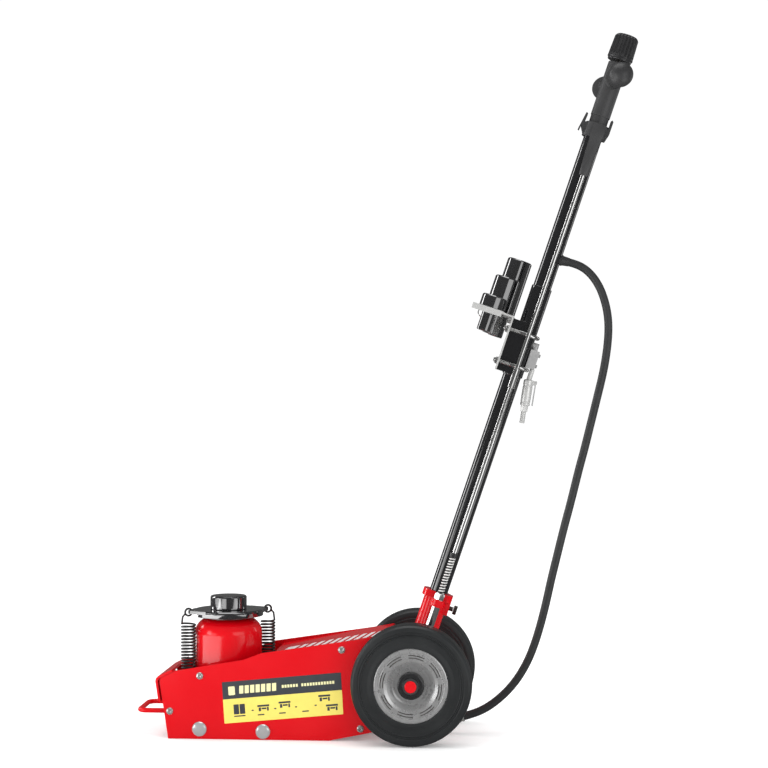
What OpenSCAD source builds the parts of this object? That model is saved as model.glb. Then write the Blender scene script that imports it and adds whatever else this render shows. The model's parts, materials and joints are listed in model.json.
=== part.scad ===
// Air-hydraulic axle jack on two wheels, with a leaning lock handle and three extension adapters.
// Origin: on the floor under the ram axis. +X to the wheels, +Z up, the pair of side plates lies along X.

/* [Chassis] */
// Outside width over the two side plates
body_w = 158; // [150:1:162]
// Thickness of the side plates
plate_t = 4; // [3:0.5:5]
// Height of the carry handle's middle above the floor
carry_z = 42; // [38:1:48]

/* [Jack] */
// Radius of the oil tank
tank_r = 59; // [56:0.5:60]
// Height of the tank's top face
tank_top = 202; // [200:1:203]
// Radius of the ram
ram_r = 22; // [18:1:24]
// Radius of the spring plate
spring_plate_r = 61; // [58:1:62]
// Distance of each return spring from the ram axis
spring_d = 72.8; // [72.8:0.1:75]
// Turn of the spring plate about the ram axis
spring_turn = 26; // [22:1:30]
// Radius of the saddle
saddle_r = 32; // [28:1:34]
// Height of the saddle's top face
saddle_top = 239; // [236:1:242]

/* [Wheels] */
// Outer radius of the tyres, which is also the height of the axle
tyre_r = 102.5; // [100:0.5:104]
// Width of the tyres
tyre_w = 50; // [46:1:52]
// Distance of the axle behind the ram axis
axle_x = 329; // [326:1:332]
// Radius of the wheel discs
rim_r = 63; // [60:1:66]

/* [Handle] */
// Backward lean of the handle
handle_tilt = 18.8; // [17:0.1:20]
// Radius of the handle tubes
tube_r = 16; // [15:0.1:16]
// Length from the axle to the top of the upper tube
tube_top = 1122; // [1115:1:1124]
// Half length of the tee bar with its grips
tee_half = 106; // [95:1:110]
// Turn of the tee bar about the handle
tee_turn = 7; // [0:0.5:10]
// Turn of the adapter rack about the handle
rack_turn = -12; // [-15:0.5:-8]
// Heights of the short, middle and tall adapters above the rack
adapter_h = [22, 62, 101]; // [20:1:110]

/* [Hidden] */
$fn = 64;

plate_y = body_w / 2;
inner_y = plate_y - plate_t;
axle_z = tyre_r;
axle_r = 10;
fit = 0.05;       // running clearance on the radius
gap = 0.3;        // clearance between curved faces of different bodies
cover_slope = 10.6;
cover_x = 88;     // front edge of the rear cover
cover_end = 288;
cover_top0 = 141.5;
cover_ref = 70;   // the cover's top face is cover_top0 high here
end_r = 44;       // round rear end of the side plates

function cover_z(x) = cover_top0 + (x - cover_ref) * tan(cover_slope);

// Handle frame: x across to the rear, y along the axle, z up the tube, with z = 0 level with the axle.
handle_offset = 7.6;
lock_u = 4.5;     // place of the lock rod beside the tube
lock_v = -32;
lock_lift = 12;
sector_r = 40;
pin_r = 7.5;
rod_r = 4;
socket_r = 21.5;
socket_top = 151;
block_low = 551;
block_high = 647;
sleeve_r = 18;
bolt_low = 566;
bolt_high = 624;
bolt_r = 3.5;
rack_u = -63;     // row of adapters in front of the tube
rack_pitch = 46;
rack_t = 3;
spigot_r = 13;
adapter_r = 22;
knob_low = 1126;
knob_top = 1172;

module on_handle() {
  translate([axle_x, 0, axle_z]) rotate([0, handle_tilt, 0]) translate([-handle_offset, 0, 0]) children();
}

// A round bar along Y between two places
module bar_y(x, z, r, y0, y1) {
  translate([x, y0, z]) rotate([-90, 0, 0]) cylinder(r = r, h = y1 - y0);
}

// A round bar along X between two places
module bar_x(y, z, r, x0, x1) {
  translate([x0, y, z]) rotate([0, 90, 0]) cylinder(r = r, h = x1 - x0);
}

// A flat outline in X and Z, extruded from y0 to y1
module slab_y(y0, y1) {
  translate([0, y1, 0]) rotate([90, 0, 0]) linear_extrude(y1 - y0) children();
}

module both_sides() {
  children();
  mirror([0, 1, 0]) children();
}

// ---- chassis ----

// Point where the line from p touches the circle round the axle, on its upper (side = 1) or lower side
function touch(p, side) =
  let (
    dx = axle_x - p[0],
    dz = axle_z - p[1],
    d = norm([dx, dz]),
    a = atan2(dz, dx) + side * asin(end_r / d),
    l = sqrt(d * d - end_r * end_r)
  )
  [p[0] + l * cos(a), p[1] + l * sin(a)];

belly = [258, 14.5];
crest = [cover_end, cover_z(cover_end) - 2];

module side_outline() {
  polygon([
    [-92, 0], [186, 0], belly, touch(belly, -1), [axle_x, axle_z], touch(crest, 1), crest,
    [70, 148], [38, 136], [-48, 121.5], [-77, 116.5], [-104, 104], [-107, 97], [-99.5, 50]]);
  translate([axle_x, axle_z]) circle(end_r);
}

base_bolt_at = [[-37.5, 17], [72.5, 14]];
screw_at = [[-37, 108], [-89, 47], [208, 155], [240, 21]];
bolt_shank_r = 6;
screw_r = 3;

module side_plate() {
  difference() {
    slab_y(-plate_y, -inner_y) side_outline();
    bar_y(axle_x, axle_z, axle_r, -plate_y - 1, -inner_y + 1);
    for (p = base_bolt_at) bar_y(p[0], p[1], bolt_shank_r, -plate_y - 1, -inner_y + 1);
    for (p = screw_at) bar_y(p[0], p[1], screw_r, -plate_y - 1, -inner_y + 1);
  }
}

module side_plate_near() { color("red") side_plate(); }

module side_plate_far() { color("red") mirror([0, 1, 0]) side_plate(); }

base_t = 6;
module base_plate() {
  color("red") translate([-88, -inner_y, 0]) cube([272, 2 * inner_y, base_t]);
}

// Bent sheet over the front, with a flange inside each side plate
flange_t = 3;
module front_sheet() {
  color("red") {
    slab_y(-plate_y, plate_y) polygon([
      [-109, 63], [-114.5, 98], [-113.5, 103], [-110, 106.5], [-86, 118],
      [-84.3, 114.4], [-107.5, 103], [-110.5, 98], [-105, 63]]);
    both_sides() slab_y(-inner_y, -inner_y + flange_t) difference() {
      polygon([[-107, 96], [-109, 99], [-106, 105], [-85, 115.5], [-50, 119.5], [-26, 119.5], [-26, 96]]);
      translate(screw_at[0]) circle(screw_r);
    }
  }
}

// Square bar in front, which carries the handle loop, and a round bar behind the base plate
screw_l = [10, 18];
module cross_bars() {
  color("red") difference() {
    union() {
      translate([-96, -inner_y, 36]) cube([14, 2 * inner_y, 22]);
      bar_y(screw_at[3][0], screw_at[3][1], 8, -inner_y, inner_y);
    }
    for (i = [1, 3]) both_sides()
      bar_y(screw_at[i][0], screw_at[i][1], screw_r, -inner_y - 1, -plate_y + screw_l[1]);
  }
}

// Sloped sheet behind the tank, with a flange down inside each side plate
cover_drop = 26;
module top_cover() {
  color("red") difference() {
    union() {
      slab_y(-inner_y + 1, inner_y - 1) polygon([
        [cover_x, cover_z(cover_x)], [cover_end, cover_z(cover_end)],
        [cover_end, cover_z(cover_end) - flange_t], [cover_x + flange_t, cover_z(cover_x) - flange_t],
        [cover_x + flange_t, cover_z(cover_x) - cover_drop], [cover_x, cover_z(cover_x) - cover_drop]]);
      both_sides() slab_y(-inner_y, -inner_y + flange_t) polygon([
        [cover_x, cover_z(cover_x) - 2], [cover_end, cover_z(cover_end) - 2],
        [cover_end, cover_z(cover_end) - cover_drop], [cover_x, cover_z(cover_x) - cover_drop]]);
    }
    bar_y(screw_at[2][0], screw_at[2][1], screw_r, -plate_y, plate_y);
  }
}

// Round bar bent into a wide loop, standing out of the front bar
carry_r = 4.25;
carry_half = 46;
carry_bend = 14;
carry_tip = -150;
module carry_handle() {
  color("red") translate([0, 0, carry_z]) {
    both_sides() {
      bar_x(-carry_half, 0, carry_r, carry_tip + carry_bend, -96);
      translate([carry_tip + carry_bend, -carry_half + carry_bend, 0]) rotate([0, 0, 180])
        rotate_extrude(angle = 90) translate([carry_bend, 0]) circle(carry_r, $fn = 32);
    }
    bar_y(carry_tip, 0, carry_r, -carry_half + carry_bend, carry_half - carry_bend);
  }
}

// Domed bolt that lies along Y with its head outside the near side plate
module domed_bolt(x, z, shank_r, shank_l, head_r, head_h) {
  translate([x, -plate_y, z]) rotate([90, 0, 0]) {
    translate([0, 0, -shank_l]) cylinder(r = shank_r, h = shank_l);
    cylinder(r = head_r, h = head_h * 0.4);
    intersection() {
      cylinder(r = head_r, h = head_h);
      translate([0, 0, head_h - head_r * 2]) sphere(head_r * 2);
    }
  }
}

module base_bolts() {
  color("silver") both_sides() for (p = base_bolt_at) domed_bolt(p[0], p[1], bolt_shank_r, 34, 12.5, 4.5);
}

module cover_screws() {
  color("silver") both_sides() for (i = [0:3])
    domed_bolt(screw_at[i][0], screw_at[i][1], screw_r, screw_l[i % 2], 6.2, 3);
}

// ---- jack ----

base_block_top = 34;
tank_low = 46;
pump_x = [100, 150];
module jack_base() {
  color("dimgray") difference() {
    union() {
      translate([-62, -inner_y, base_t]) cube([162, 2 * inner_y, base_block_top - base_t]);
      cylinder(r = 55, h = tank_low);
    }
    translate([0, 0, -1]) cylinder(r = 60, h = base_t + 1);
    both_sides() for (p = base_bolt_at)
      bar_y(p[0], p[1], bolt_shank_r, -inner_y - 1, -plate_y + 34);
  }
}

spindle_y = 45;
spindle_z = 62;
spindle_r = 6;
module pump_body() {
  color("dimgray") difference() {
    translate([pump_x[0], -38, base_t]) cube([pump_x[1] - pump_x[0], 96, 84]);
    bar_x(spindle_y, spindle_z, spindle_r + fit, pump_x[0] + 14, pump_x[1] + 1);
  }
}

tank_wall = 4;
shoulder_r = 28;
cyl_r = 34;
gland_low = 176;
gland_r = 40;
plug_z = 160;
module oil_tank() {
  color("red") difference() {
    rotate_extrude() {
      translate([0, tank_low]) square([tank_r, tank_top - shoulder_r - tank_low]);
      translate([0, tank_low]) square([tank_r - shoulder_r, tank_top - tank_low]);
      translate([tank_r - shoulder_r, tank_top - shoulder_r]) circle(shoulder_r);
    }
    translate([0, 0, tank_low - 1]) cylinder(r = tank_r - tank_wall, h = tank_top - shoulder_r - tank_low);
    cylinder(r = gland_r, h = tank_top + 1);
    translate([0, tank_r - 6, plug_z]) rotate([-90, 0, 0]) cylinder(r = 6, h = 20);
  }
}

module cylinder_tube() {
  color("silver") difference() {
    translate([0, 0, tank_low]) cylinder(r = cyl_r, h = gland_low - tank_low);
    translate([0, 0, tank_low - 1]) cylinder(r = ram_r + 2, h = gland_low);
  }
}

module gland_nut() {
  color("dimgray") difference() {
    translate([0, 0, gland_low]) cylinder(r = gland_r, h = tank_top - gland_low);
    cylinder(r = ram_r + fit, h = tank_top + 1);
  }
}

module filler_plug() {
  color("black") translate([0, tank_r - 6, plug_z]) rotate([-90, 0, 0]) {
    cylinder(r = 6, h = 6);
    translate([0, 0, 6]) cylinder(r = 8, h = 3);
  }
}

// Posts that hold the lower hooks of the return springs
post_top = 62;
module at_springs() {
  for (a = [0, 180]) rotate([0, 0, spring_turn + a]) translate([spring_d, 0, 0]) children();
}

module spring_posts() {
  color("dimgray") at_springs() difference() {
    translate([-8, -3, base_block_top]) cube([16, 6, post_top - base_block_top]);
    translate([0, 5, post_top - 8]) rotate([90, 0, 0]) cylinder(r = 3, h = 10);
  }
}

// ---- air drive ----

motor_r = 30;
motor_z = 60;
module air_motor() {
  color("silver") {
    bar_x(0, motor_z, motor_r, pump_x[1], 236);
    bar_x(0, motor_z, motor_r - 4, 236, 262);
  }
}

pipe_z = 25;
pipe_r = 5;
pipe_end = 394;
inlet_x = [262, 286];
module air_inlet() {
  color("silver") {
    translate([inlet_x[0], -12, 14]) cube([inlet_x[1] - inlet_x[0], 24, 58]);
    bar_x(0, pipe_z, pipe_r, inlet_x[1], pipe_end);
  }
}

// Route of the air hose's centre in X and Z, from the ferrule behind the axle up to its outlet on the handle
hose_r = 7;
hose_sides = 10;
hose_route = [
  [412, 30], [444, 39], [472, 58], [497, 82], [516, 109], [531, 139], [542, 171], [551, 203],
  [559, 236], [566, 269], [574, 301], [582, 334], [590, 366], [599, 399], [607, 431], [615, 464],
  [624, 496], [632, 529], [640, 561], [648, 594], [656, 626], [662, 659], [666, 693], [666, 726],
  [659, 759], [646, 790], [622, 816], [589, 824]];
hose_steps = 2;   // rings from one route point to the next

// A point of the route, which goes straight on past both ends
function route_at(i) =
  let (last = len(hose_route) - 1)
  i < 0 ? 2 * hose_route[0] - hose_route[1]
    : i > last ? 2 * hose_route[last] - hose_route[last - 1] : hose_route[i];

// Smooth curve (a cubic B-spline) along the route's points
function curve_at(i, t) =
  let (a = route_at(i - 1), b = route_at(i), c = route_at(i + 1), d = route_at(i + 2), s = 1 - t)
  (pow(s, 3) * a + (3 * pow(t, 3) - 6 * t * t + 4) * b + (3 * pow(s, 3) - 6 * s * s + 4) * c
    + pow(t, 3) * d) / 6;

hose_line = concat(
  [for (i = [0:len(hose_route) - 2]) for (k = [0:hose_steps - 1]) curve_at(i, k / hose_steps)],
  [route_at(len(hose_route) - 1)]);

function heading(i) =
  let (
    last = len(hose_line) - 1,
    v = hose_line[min(last, i + 1)] - hose_line[max(0, i - 1)]
  )
  atan2(v[1], v[0]);

function ring_point(i, k) =
  let (p = hose_line[i], a = heading(i), q = 360 * k / hose_sides, u = hose_r * cos(q))
  [p[0] - u * sin(a), hose_r * sin(q), p[1] + u * cos(a)];

module hose() {
  rings = len(hose_line);
  color("black") polyhedron(
    points = [for (i = [0:rings - 1]) for (k = [0:hose_sides - 1]) ring_point(i, k)],
    faces = concat(
      [[for (k = [0:hose_sides - 1]) k]],
      [[for (k = [hose_sides - 1:-1:0]) (rings - 1) * hose_sides + k]],
      [for (i = [0:rings - 2]) for (k = [0:hose_sides - 1])
        let (n = (k + 1) % hose_sides, a = i * hose_sides, b = a + hose_sides)
        [a + k, b + k, b + n, a + n]]));
}

// Crimped ferrule and nut in line with the hose's lower end, with a bore for the pipe
module hose_ferrule() {
  color("silver") difference() {
    translate([hose_route[0][0], 0, hose_route[0][1]]) rotate([0, -90 - heading(0), 0]) {
      cylinder(r = hose_r + 1.8, h = 16);
      translate([0, 0, 16]) cylinder(r = 9.5, h = 8, $fn = 6);
    }
    bar_x(0, pipe_z, pipe_r, pipe_end - 20, pipe_end);
  }
}

// ---- wheels and axle ----

wheel_y = 82;      // inner face of the tyres
hub_r = 22.5;
axle_half = 137;

module axle() { color("red") bar_y(axle_x, axle_z, axle_r, -axle_half, axle_half); }

module axle_clips() {
  color("silver") both_sides() difference() {
    bar_y(axle_x, axle_z, axle_r + 3.5, -135.2, -133.4);
    bar_y(axle_x, axle_z, axle_r, -140, -130);
  }
}

module at_axle_near() {
  translate([axle_x, -wheel_y, axle_z]) rotate([90, 0, 0]) children();
}

// Half sections of the wheel, as seen from its axis: r across, width from the inner face outwards
module tyre_section() {
  shoulder = 8;
  translate([rim_r, 4]) square([tyre_r - rim_r - shoulder, tyre_w - 8]);
  translate([rim_r + 12, 0]) square([tyre_r - rim_r - 12 - shoulder, tyre_w]);
  translate([rim_r + 12, shoulder]) square([tyre_r - rim_r - 12, tyre_w - 2 * shoulder]);
  for (y = [shoulder, tyre_w - shoulder]) translate([tyre_r - shoulder, y]) circle(shoulder);
  for (y = [6, tyre_w - 6]) translate([rim_r + 12, y]) circle(6);
}

module tyre() { color("dimgray") at_axle_near() rotate_extrude() tyre_section(); }

module rim() {
  color("silver") at_axle_near() rotate_extrude() polygon([
    [hub_r, 22], [30, 20], [42, 20], [50, 26], [56, 26], [59, 8], [rim_r, 6],
    [rim_r, 44], [60, 46], [57, 44], [54, 34], [48, 30], [41, 34], [38, 40], [30, 43], [hub_r, 43]]);
}

module hub() {
  color("black") at_axle_near() difference() {
    translate([0, 0, -2.5]) cylinder(r = hub_r, h = 53.5);
    translate([0, 0, -5]) cylinder(r = axle_r + fit, h = 60);
  }
}

module tyre_near() { tyre(); }
module rim_near() { rim(); }
module hub_near() { hub(); }
module tyre_far() { mirror([0, 1, 0]) tyre(); }
module rim_far() { mirror([0, 1, 0]) rim(); }
module hub_far() { mirror([0, 1, 0]) hub(); }

// Toothed plate beside the handle's foot: the lock pin drops into its notches
sector_y = [-38, -26];
notch_at = [-18.8, 25, 50];
module lock_sector() {
  color("dimgray") difference() {
    union() {
      bar_y(axle_x, axle_z, 17, -inner_y, sector_y[0]);
      intersection() {
        bar_y(axle_x, axle_z, sector_r, sector_y[0], sector_y[1]);
        union() {
          bar_y(axle_x, axle_z, 20, sector_y[0], sector_y[1]);
          translate([axle_x - 50, sector_y[0], axle_z - 12]) cube([100, 12, 60]);
        }
      }
    }
    bar_y(axle_x, axle_z, axle_r, -inner_y - 1, 0);
    for (a = notch_at) translate([axle_x, 0, axle_z]) rotate([0, handle_tilt + a, 0])
      translate([lock_u - handle_offset - 5, sector_y[0] - 1, sector_r - 10]) cube([10, 14, 20]);
  }
}

module axle_spacer() {
  color("dimgray") difference() {
    bar_y(axle_x, axle_z, 15, 40.5, inner_y);
    bar_y(axle_x, axle_z, axle_r, 40, inner_y + 1);
  }
}

// ---- ram ----

ram_low = tank_low + 2;
ram_top = 214;
module ram() {
  color("silver") difference() {
    translate([0, 0, ram_low]) cylinder(r = ram_r, h = ram_top - ram_low);
    translate([0, 0, ram_top - 34]) cylinder(r = spigot_r + fit, h = 40);
  }
}

plate_low = 203;
plate_top = 214.5;
ear_t = 6;
ear_d = 65;       // distance of each ear's tip circle from the ram axis
ear_r = 8;
ear_hole_r = 3.4;
// Ear whose two sides run from the plate's rim to its tip circle and touch both
module ear_outline() {
  side = acos((spring_plate_r - ear_r) / ear_d);
  polygon([
    [0, 0], spring_plate_r * [cos(side), -sin(side)], [ear_d, 0] + ear_r * [cos(side), -sin(side)],
    [ear_d, 0] + ear_r * [cos(side), sin(side)], spring_plate_r * [cos(side), sin(side)]]);
  translate([ear_d, 0]) circle(ear_r);
}

module spring_plate() {
  color("black") difference() {
    union() {
      translate([0, 0, plate_low]) cylinder(r = spring_plate_r, h = plate_top - plate_low - 2);
      translate([0, 0, plate_top - 2]) cylinder(r1 = spring_plate_r, r2 = spring_plate_r - 2.5, h = 2);
      for (a = [0, 180]) rotate([0, 0, spring_turn + a]) translate([0, 0, plate_top - ear_t])
        linear_extrude(ear_t) ear_outline();
    }
    translate([0, 0, plate_low - 1]) cylinder(r = spring_plate_r - 4, h = 5);
    cylinder(r = ram_r, h = ram_top);
    cylinder(r = spigot_r + 1, h = plate_top + 1);
    for (a = [0, 180]) rotate([0, 0, spring_turn + a]) translate([ear_d, 0, plate_low])
      cylinder(r = ear_hole_r, h = 20);
  }
}

// A return spring: the coil as a sleeve, with a straight hook end above and below
coil_r = 13.2;
wire_r = 1.5;
coil_z = [72, 192];
module return_spring() {
  translate([0, 0, coil_z[0]]) difference() {
    cylinder(r = coil_r, h = coil_z[1] - coil_z[0]);
    translate([0, 0, 2 * wire_r]) cylinder(r = coil_r - 2 * wire_r, h = coil_z[1] - coil_z[0]);
  }
  translate([0, 0, post_top]) cylinder(r = wire_r, h = coil_z[0] - post_top);
  translate([coil_r - wire_r, 0, coil_z[1]]) cylinder(r = wire_r, h = plate_top + 4 - coil_z[1]);
}

module spring_front() {
  color("black") rotate([0, 0, spring_turn + 180]) translate([spring_d, 0, 0]) return_spring();
}

module spring_rear() {
  color("black") rotate([0, 0, spring_turn]) translate([spring_d, 0, 0]) return_spring();
}

module saddle() {
  color("black") {
    translate([0, 0, plate_top]) cylinder(r = saddle_r, h = saddle_top - 3 - plate_top);
    translate([0, 0, saddle_top - 3]) cylinder(r1 = saddle_r, r2 = saddle_r - 3, h = 3);
    translate([0, 0, ram_top - 32]) cylinder(r = spigot_r, h = 32 + plate_top - ram_top);
  }
}

// ---- handle ----

tube_wall = 2.5;
tube_foot = 62;
clamp_z = 129;
clamp_u = 27;
module socket() {
  color("red") on_handle() difference() {
    union() {
      cylinder(r = socket_r, h = 140);
      translate([handle_offset, -25.5, 0]) rotate([-90, 0, 0]) cylinder(r = 22, h = 65.5);
      intersection() {
        translate([0, 0, 139]) cylinder(r = 26.5, h = socket_top - 139);
        translate([-30, -18.5, 130]) cube([60, 60, 30]);
      }
      translate([0, -11, 116]) cube([clamp_u, 22, socket_top - 116]);
      for (z = [128.5, 62]) hull() {
        translate([lock_u, lock_v, z]) cylinder(r = 11, h = 12.5, $fn = 32);
        translate([lock_u - 11, -16, z]) cube([22, 1, 12.5]);
      }
    }
    translate([handle_offset, -30, 0]) rotate([-90, 0, 0]) cylinder(r = axle_r + fit, h = 80);
    translate([0, 0, tube_foot]) cylinder(r = tube_r, h = 100);
    translate([0, 0, 32]) cylinder(r = 9, h = 40);
    translate([lock_u, lock_v, 50]) cylinder(r = pin_r + fit, h = 100);
    translate([10, 0, clamp_z]) rotate([0, 90, 0]) cylinder(r = rod_r + fit, h = 30);
  }
}

module pipe(r, wall, z0, z1) {
  difference() {
    translate([0, 0, z0]) cylinder(r = r, h = z1 - z0);
    translate([0, 0, z0 - 1]) cylinder(r = r - wall, h = z1 - z0 + 2);
  }
}

module tube_lower() { color("black") on_handle() pipe(tube_r, tube_wall, tube_foot, 630); }

module tube_upper() { color("black") on_handle() pipe(tube_r, tube_wall, 630, tube_top); }

module joint_sleeve() { color("black") on_handle() pipe(sleeve_r, sleeve_r - tube_r, 549, 711); }

block_u = -29;
module clamp_block() {
  color("black") on_handle() difference() {
    translate([block_u, -17.5, block_low]) cube([27, 35, block_high - block_low - rack_t]);
    translate([0, 0, block_low - 1]) cylinder(r = sleeve_r, h = 100);
  }
}

bolt_leg = sleeve_r + bolt_r + 0.1;
module u_bolts() {
  color("silver") on_handle() for (z = [bolt_low, bolt_high]) translate([0, 0, z]) {
    both_sides() {
      translate([-40, -bolt_leg, 0]) rotate([0, 90, 0]) cylinder(r = bolt_r, h = 40);
      translate([block_u - 3 - 5, -bolt_leg, 0]) rotate([0, 90, 0]) cylinder(r = 6.4, h = 5, $fn = 6);
    }
    rotate([0, 0, -90]) rotate_extrude(angle = 180) translate([bolt_leg, 0]) circle(bolt_r, $fn = 32);
  }
}

module on_rack() {
  on_handle() rotate([0, 0, rack_turn]) translate([rack_u, 0, block_high]) children();
}

// Shelf for the adapters, with a turned down lip on three sides and a flange on the clamp block
rack_depth = 54;
rack_half = 74;
flange_half = 28;
flange_reach = 52; // the flange on the tube's side starts this far in front of the tube
module adapter_rack() {
  color("silver") difference() {
    union() {
      on_rack() {
        translate([-rack_depth / 2, -rack_half, -rack_t]) cube([rack_depth, 2 * rack_half, rack_t]);
        both_sides() translate([-rack_depth / 2, -rack_half, -10]) cube([rack_depth, 2, 7]);
      }
      on_handle() {
        translate([-flange_reach, -flange_half, block_high - rack_t])
          cube([flange_reach + block_u, 2 * flange_half, rack_t]);
        translate([block_u - rack_t, -flange_half, block_low])
          cube([rack_t, 2 * flange_half, block_high - block_low - rack_t]);
      }
    }
    on_rack() for (i = [-1:1]) translate([0, i * rack_pitch, -2 * rack_t])
      cylinder(r = spigot_r + gap, h = 3 * rack_t);
    on_handle() for (z = [bolt_low, bolt_high]) both_sides() translate([block_u - rack_t - 1, -bolt_leg, z])
      rotate([0, 90, 0]) cylinder(r = bolt_r, h = rack_t + 2);
  }
}

module rack_ring() {
  color("silver") on_rack() translate([-16, -34, -rack_t - 8]) rotate([90, 0, 20])
    rotate_extrude() translate([7, 0]) circle(1, $fn = 16);
}

// Small block on the side of the tube that guides the lock rod and seats its spring
guide_z = 218;
guide_h = 8;
guide_r = 6.4;
module rod_guide() {
  color("black") on_handle() difference() {
    union() {
      translate([lock_u - guide_r, lock_v, guide_z]) cube([2 * guide_r, -lock_v, guide_h]);
      translate([lock_u, lock_v, guide_z]) cylinder(r = guide_r, h = guide_h);
    }
    translate([0, 0, guide_z - 1]) cylinder(r = tube_r, h = guide_h + 2);
    translate([lock_u, lock_v, guide_z - 1]) cylinder(r = rod_r + fit, h = guide_h + 2);
  }
}

// Hose outlet on the back of the upper tube
module hose_grommet() {
  end = len(hose_line) - 1;
  color("black") difference() {
    translate([hose_line[end][0], 0, hose_line[end][1]]) rotate([0, 90 - heading(end), 0])
      cylinder(r = 10.5, h = 16);
    on_handle() translate([0, 0, 700]) cylinder(r = tube_r, h = 120);
  }
}

tee_z = 1089;
tee_r = 11;
boss_z = [1024, 1121];
module on_tee() { on_handle() translate([0, 0, tee_z]) rotate([0, 0, tee_turn]) children(); }

module tee_bar() {
  color("black") difference() {
    union() {
      on_handle() translate([0, 0, boss_z[0]]) cylinder(r = 17.2, h = boss_z[1] - boss_z[0]);
      on_tee() translate([0, -tee_half + 8, 0]) rotate([-90, 0, 0])
        cylinder(r = tee_r, h = 2 * tee_half - 16);
    }
    on_handle() translate([0, 0, boss_z[0] - 1]) cylinder(r = tube_r, h = boss_z[1] - boss_z[0] + 2);
  }
}

// Grip that swells towards its round end
module grip_section() {
  polygon([[tee_r, 21], [16, 21], [17, 34], [19, 60], [21, 84], [21, tee_half - 10], [tee_r, tee_half - 10]]);
  intersection() {
    translate([0, tee_half - 21]) circle(21);
    translate([0, tee_half - 10]) square([30, 30]);
  }
}

module tee_grips() {
  color("dimgray") on_tee() difference() {
    both_sides() rotate([90, 0, 0]) rotate_extrude() grip_section();
    translate([0, -tee_half + 8, 0]) rotate([-90, 0, 0]) cylinder(r = tee_r, h = 2 * tee_half - 16);
  }
}

air_u = [17, 33];
air_z = [570.5, 603];
module air_block() {
  color("silver") on_handle() {
    difference() {
      union() {
        translate([air_u[0], -11, air_z[0]]) cube([air_u[1] - air_u[0], 22, air_z[1] - air_z[0]]);
        translate([23, 0, air_z[1]]) cylinder(r = 5, h = 8);
        translate([12, 0, air_z[1] + 8]) rotate([0, 90, 0]) cylinder(r = 5, h = 16);
      }
      translate([0, 0, air_z[0] - 1]) cylinder(r = sleeve_r, h = 60);
    }
    for (z = [577, 596]) translate([air_u[1], 0, z]) rotate([0, 90, 0]) cylinder(r = 3, h = 3);
  }
}

// Valve that hangs below the air block. Its own frame points down along it.
valve_top = [30, 551];
valve_lean = 9.6;
nipple = [45, 56, 76];
nipple_r = 4.5;
module on_valve() {
  on_handle() translate([valve_top[0], 0, valve_top[1]]) rotate([0, 180 - valve_lean, 0]) children();
}

lever_hinge = 4;
lever_x = -12.7;
module air_valve() {
  color("silver") {
    on_handle() translate([valve_top[0], 0, valve_top[1] - 3])
      cylinder(r = 4.4, h = air_z[0] - valve_top[1] + 3);
    on_valve() difference() {
      union() {
        cylinder(r = 8.5, h = nipple[0]);
        translate([0, 0, nipple[0]]) cylinder(r = 6.5, h = nipple[1] - nipple[0]);
        translate([0, 0, nipple[1]]) cylinder(r = nipple_r, h = nipple[2] - nipple[1]);
        for (y = [-7, 4]) translate([lever_x - 2.5, y, lever_hinge - 4]) cube([12, 3, 8]);
      }
      translate([0, 0, nipple[1] - 1]) cylinder(r = 2.2, h = 30);
      translate([lever_x, -9, lever_hinge]) rotate([-90, 0, 0]) cylinder(r = 1.5, h = 20);
    }
  }
}

module valve_lever() {
  color("dimgray") on_valve() {
    translate([lever_x, -7.5, lever_hinge]) rotate([-90, 0, 0]) cylinder(r = 1.45, h = 15);
    translate([lever_x - 1.2, -3.7, lever_hinge - 2]) cube([2.4, 7.4, 42]);
  }
}

// ---- lock ----

pin_tip = sector_r + 0.4;
nut_z = [141, 152.5];
coupling_z = [527.5, 562];
skirt_low = 914;
collar_low = 985;
module lock_rods() {
  color("silver") on_handle() translate([lock_u, lock_v, 0]) {
    translate([0, 0, pin_tip]) cylinder(r = 4.5, h = 50 - pin_tip);
    translate([0, 0, 50]) cylinder(r = pin_r, h = nut_z[0] - 50);
    translate([0, 0, nut_z[0]]) cylinder(r = 9.6, h = nut_z[1] - nut_z[0], $fn = 6);
    translate([0, 0, nut_z[1]]) cylinder(r = rod_r, h = collar_low + 15 - nut_z[1]);
    translate([0, 0, coupling_z[0]]) cylinder(r = 6.2, h = coupling_z[1] - coupling_z[0]);
  }
}

module lock_spring() {
  color("silver") on_handle() translate([lock_u, lock_v, nut_z[1]]) difference() {
    cylinder(r = 5.8, h = guide_z - nut_z[1]);
    translate([0, 0, -1]) cylinder(r = rod_r + gap, h = 100);
  }
}

// Finger collar that slides on the tube and lifts the lock rod
module lock_collar() {
  color("black") on_handle() difference() {
    union() {
      translate([0, 0, collar_low]) cylinder(r = 20.5, h = 25);
      translate([lock_u - 11, lock_v - 5, collar_low]) cube([22, 30, 22]);
      hull() {
        translate([lock_u, lock_v + 1, skirt_low]) cylinder(r = 7.5, h = 2, $fn = 32);
        translate([lock_u - 11, lock_v - 5, collar_low]) cube([22, 18, 2]);
      }
      slab_y(-9, 9) polygon([
        [16, 985], [21, 985], [25, 1000], [25, 1021], [22.5, 1024], [20, 1021], [20, 1007], [16, 1005]]);
      slab_y(-9, 9) polygon([
        [-18, 988], [-20, 988], [-27, 1000], [-27.5, 992], [-30, 992],
        [-25, 1024], [-21.5, 1023], [-22.5, 1009], [-16, 1005]]);
    }
    translate([0, 0, skirt_low - 1]) cylinder(r = tube_r + gap, h = 200);
    translate([lock_u, lock_v, skirt_low - 1]) cylinder(r = rod_r, h = collar_low + 16 - skirt_low);
  }
}

// ---- loose and turning pieces ----

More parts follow.
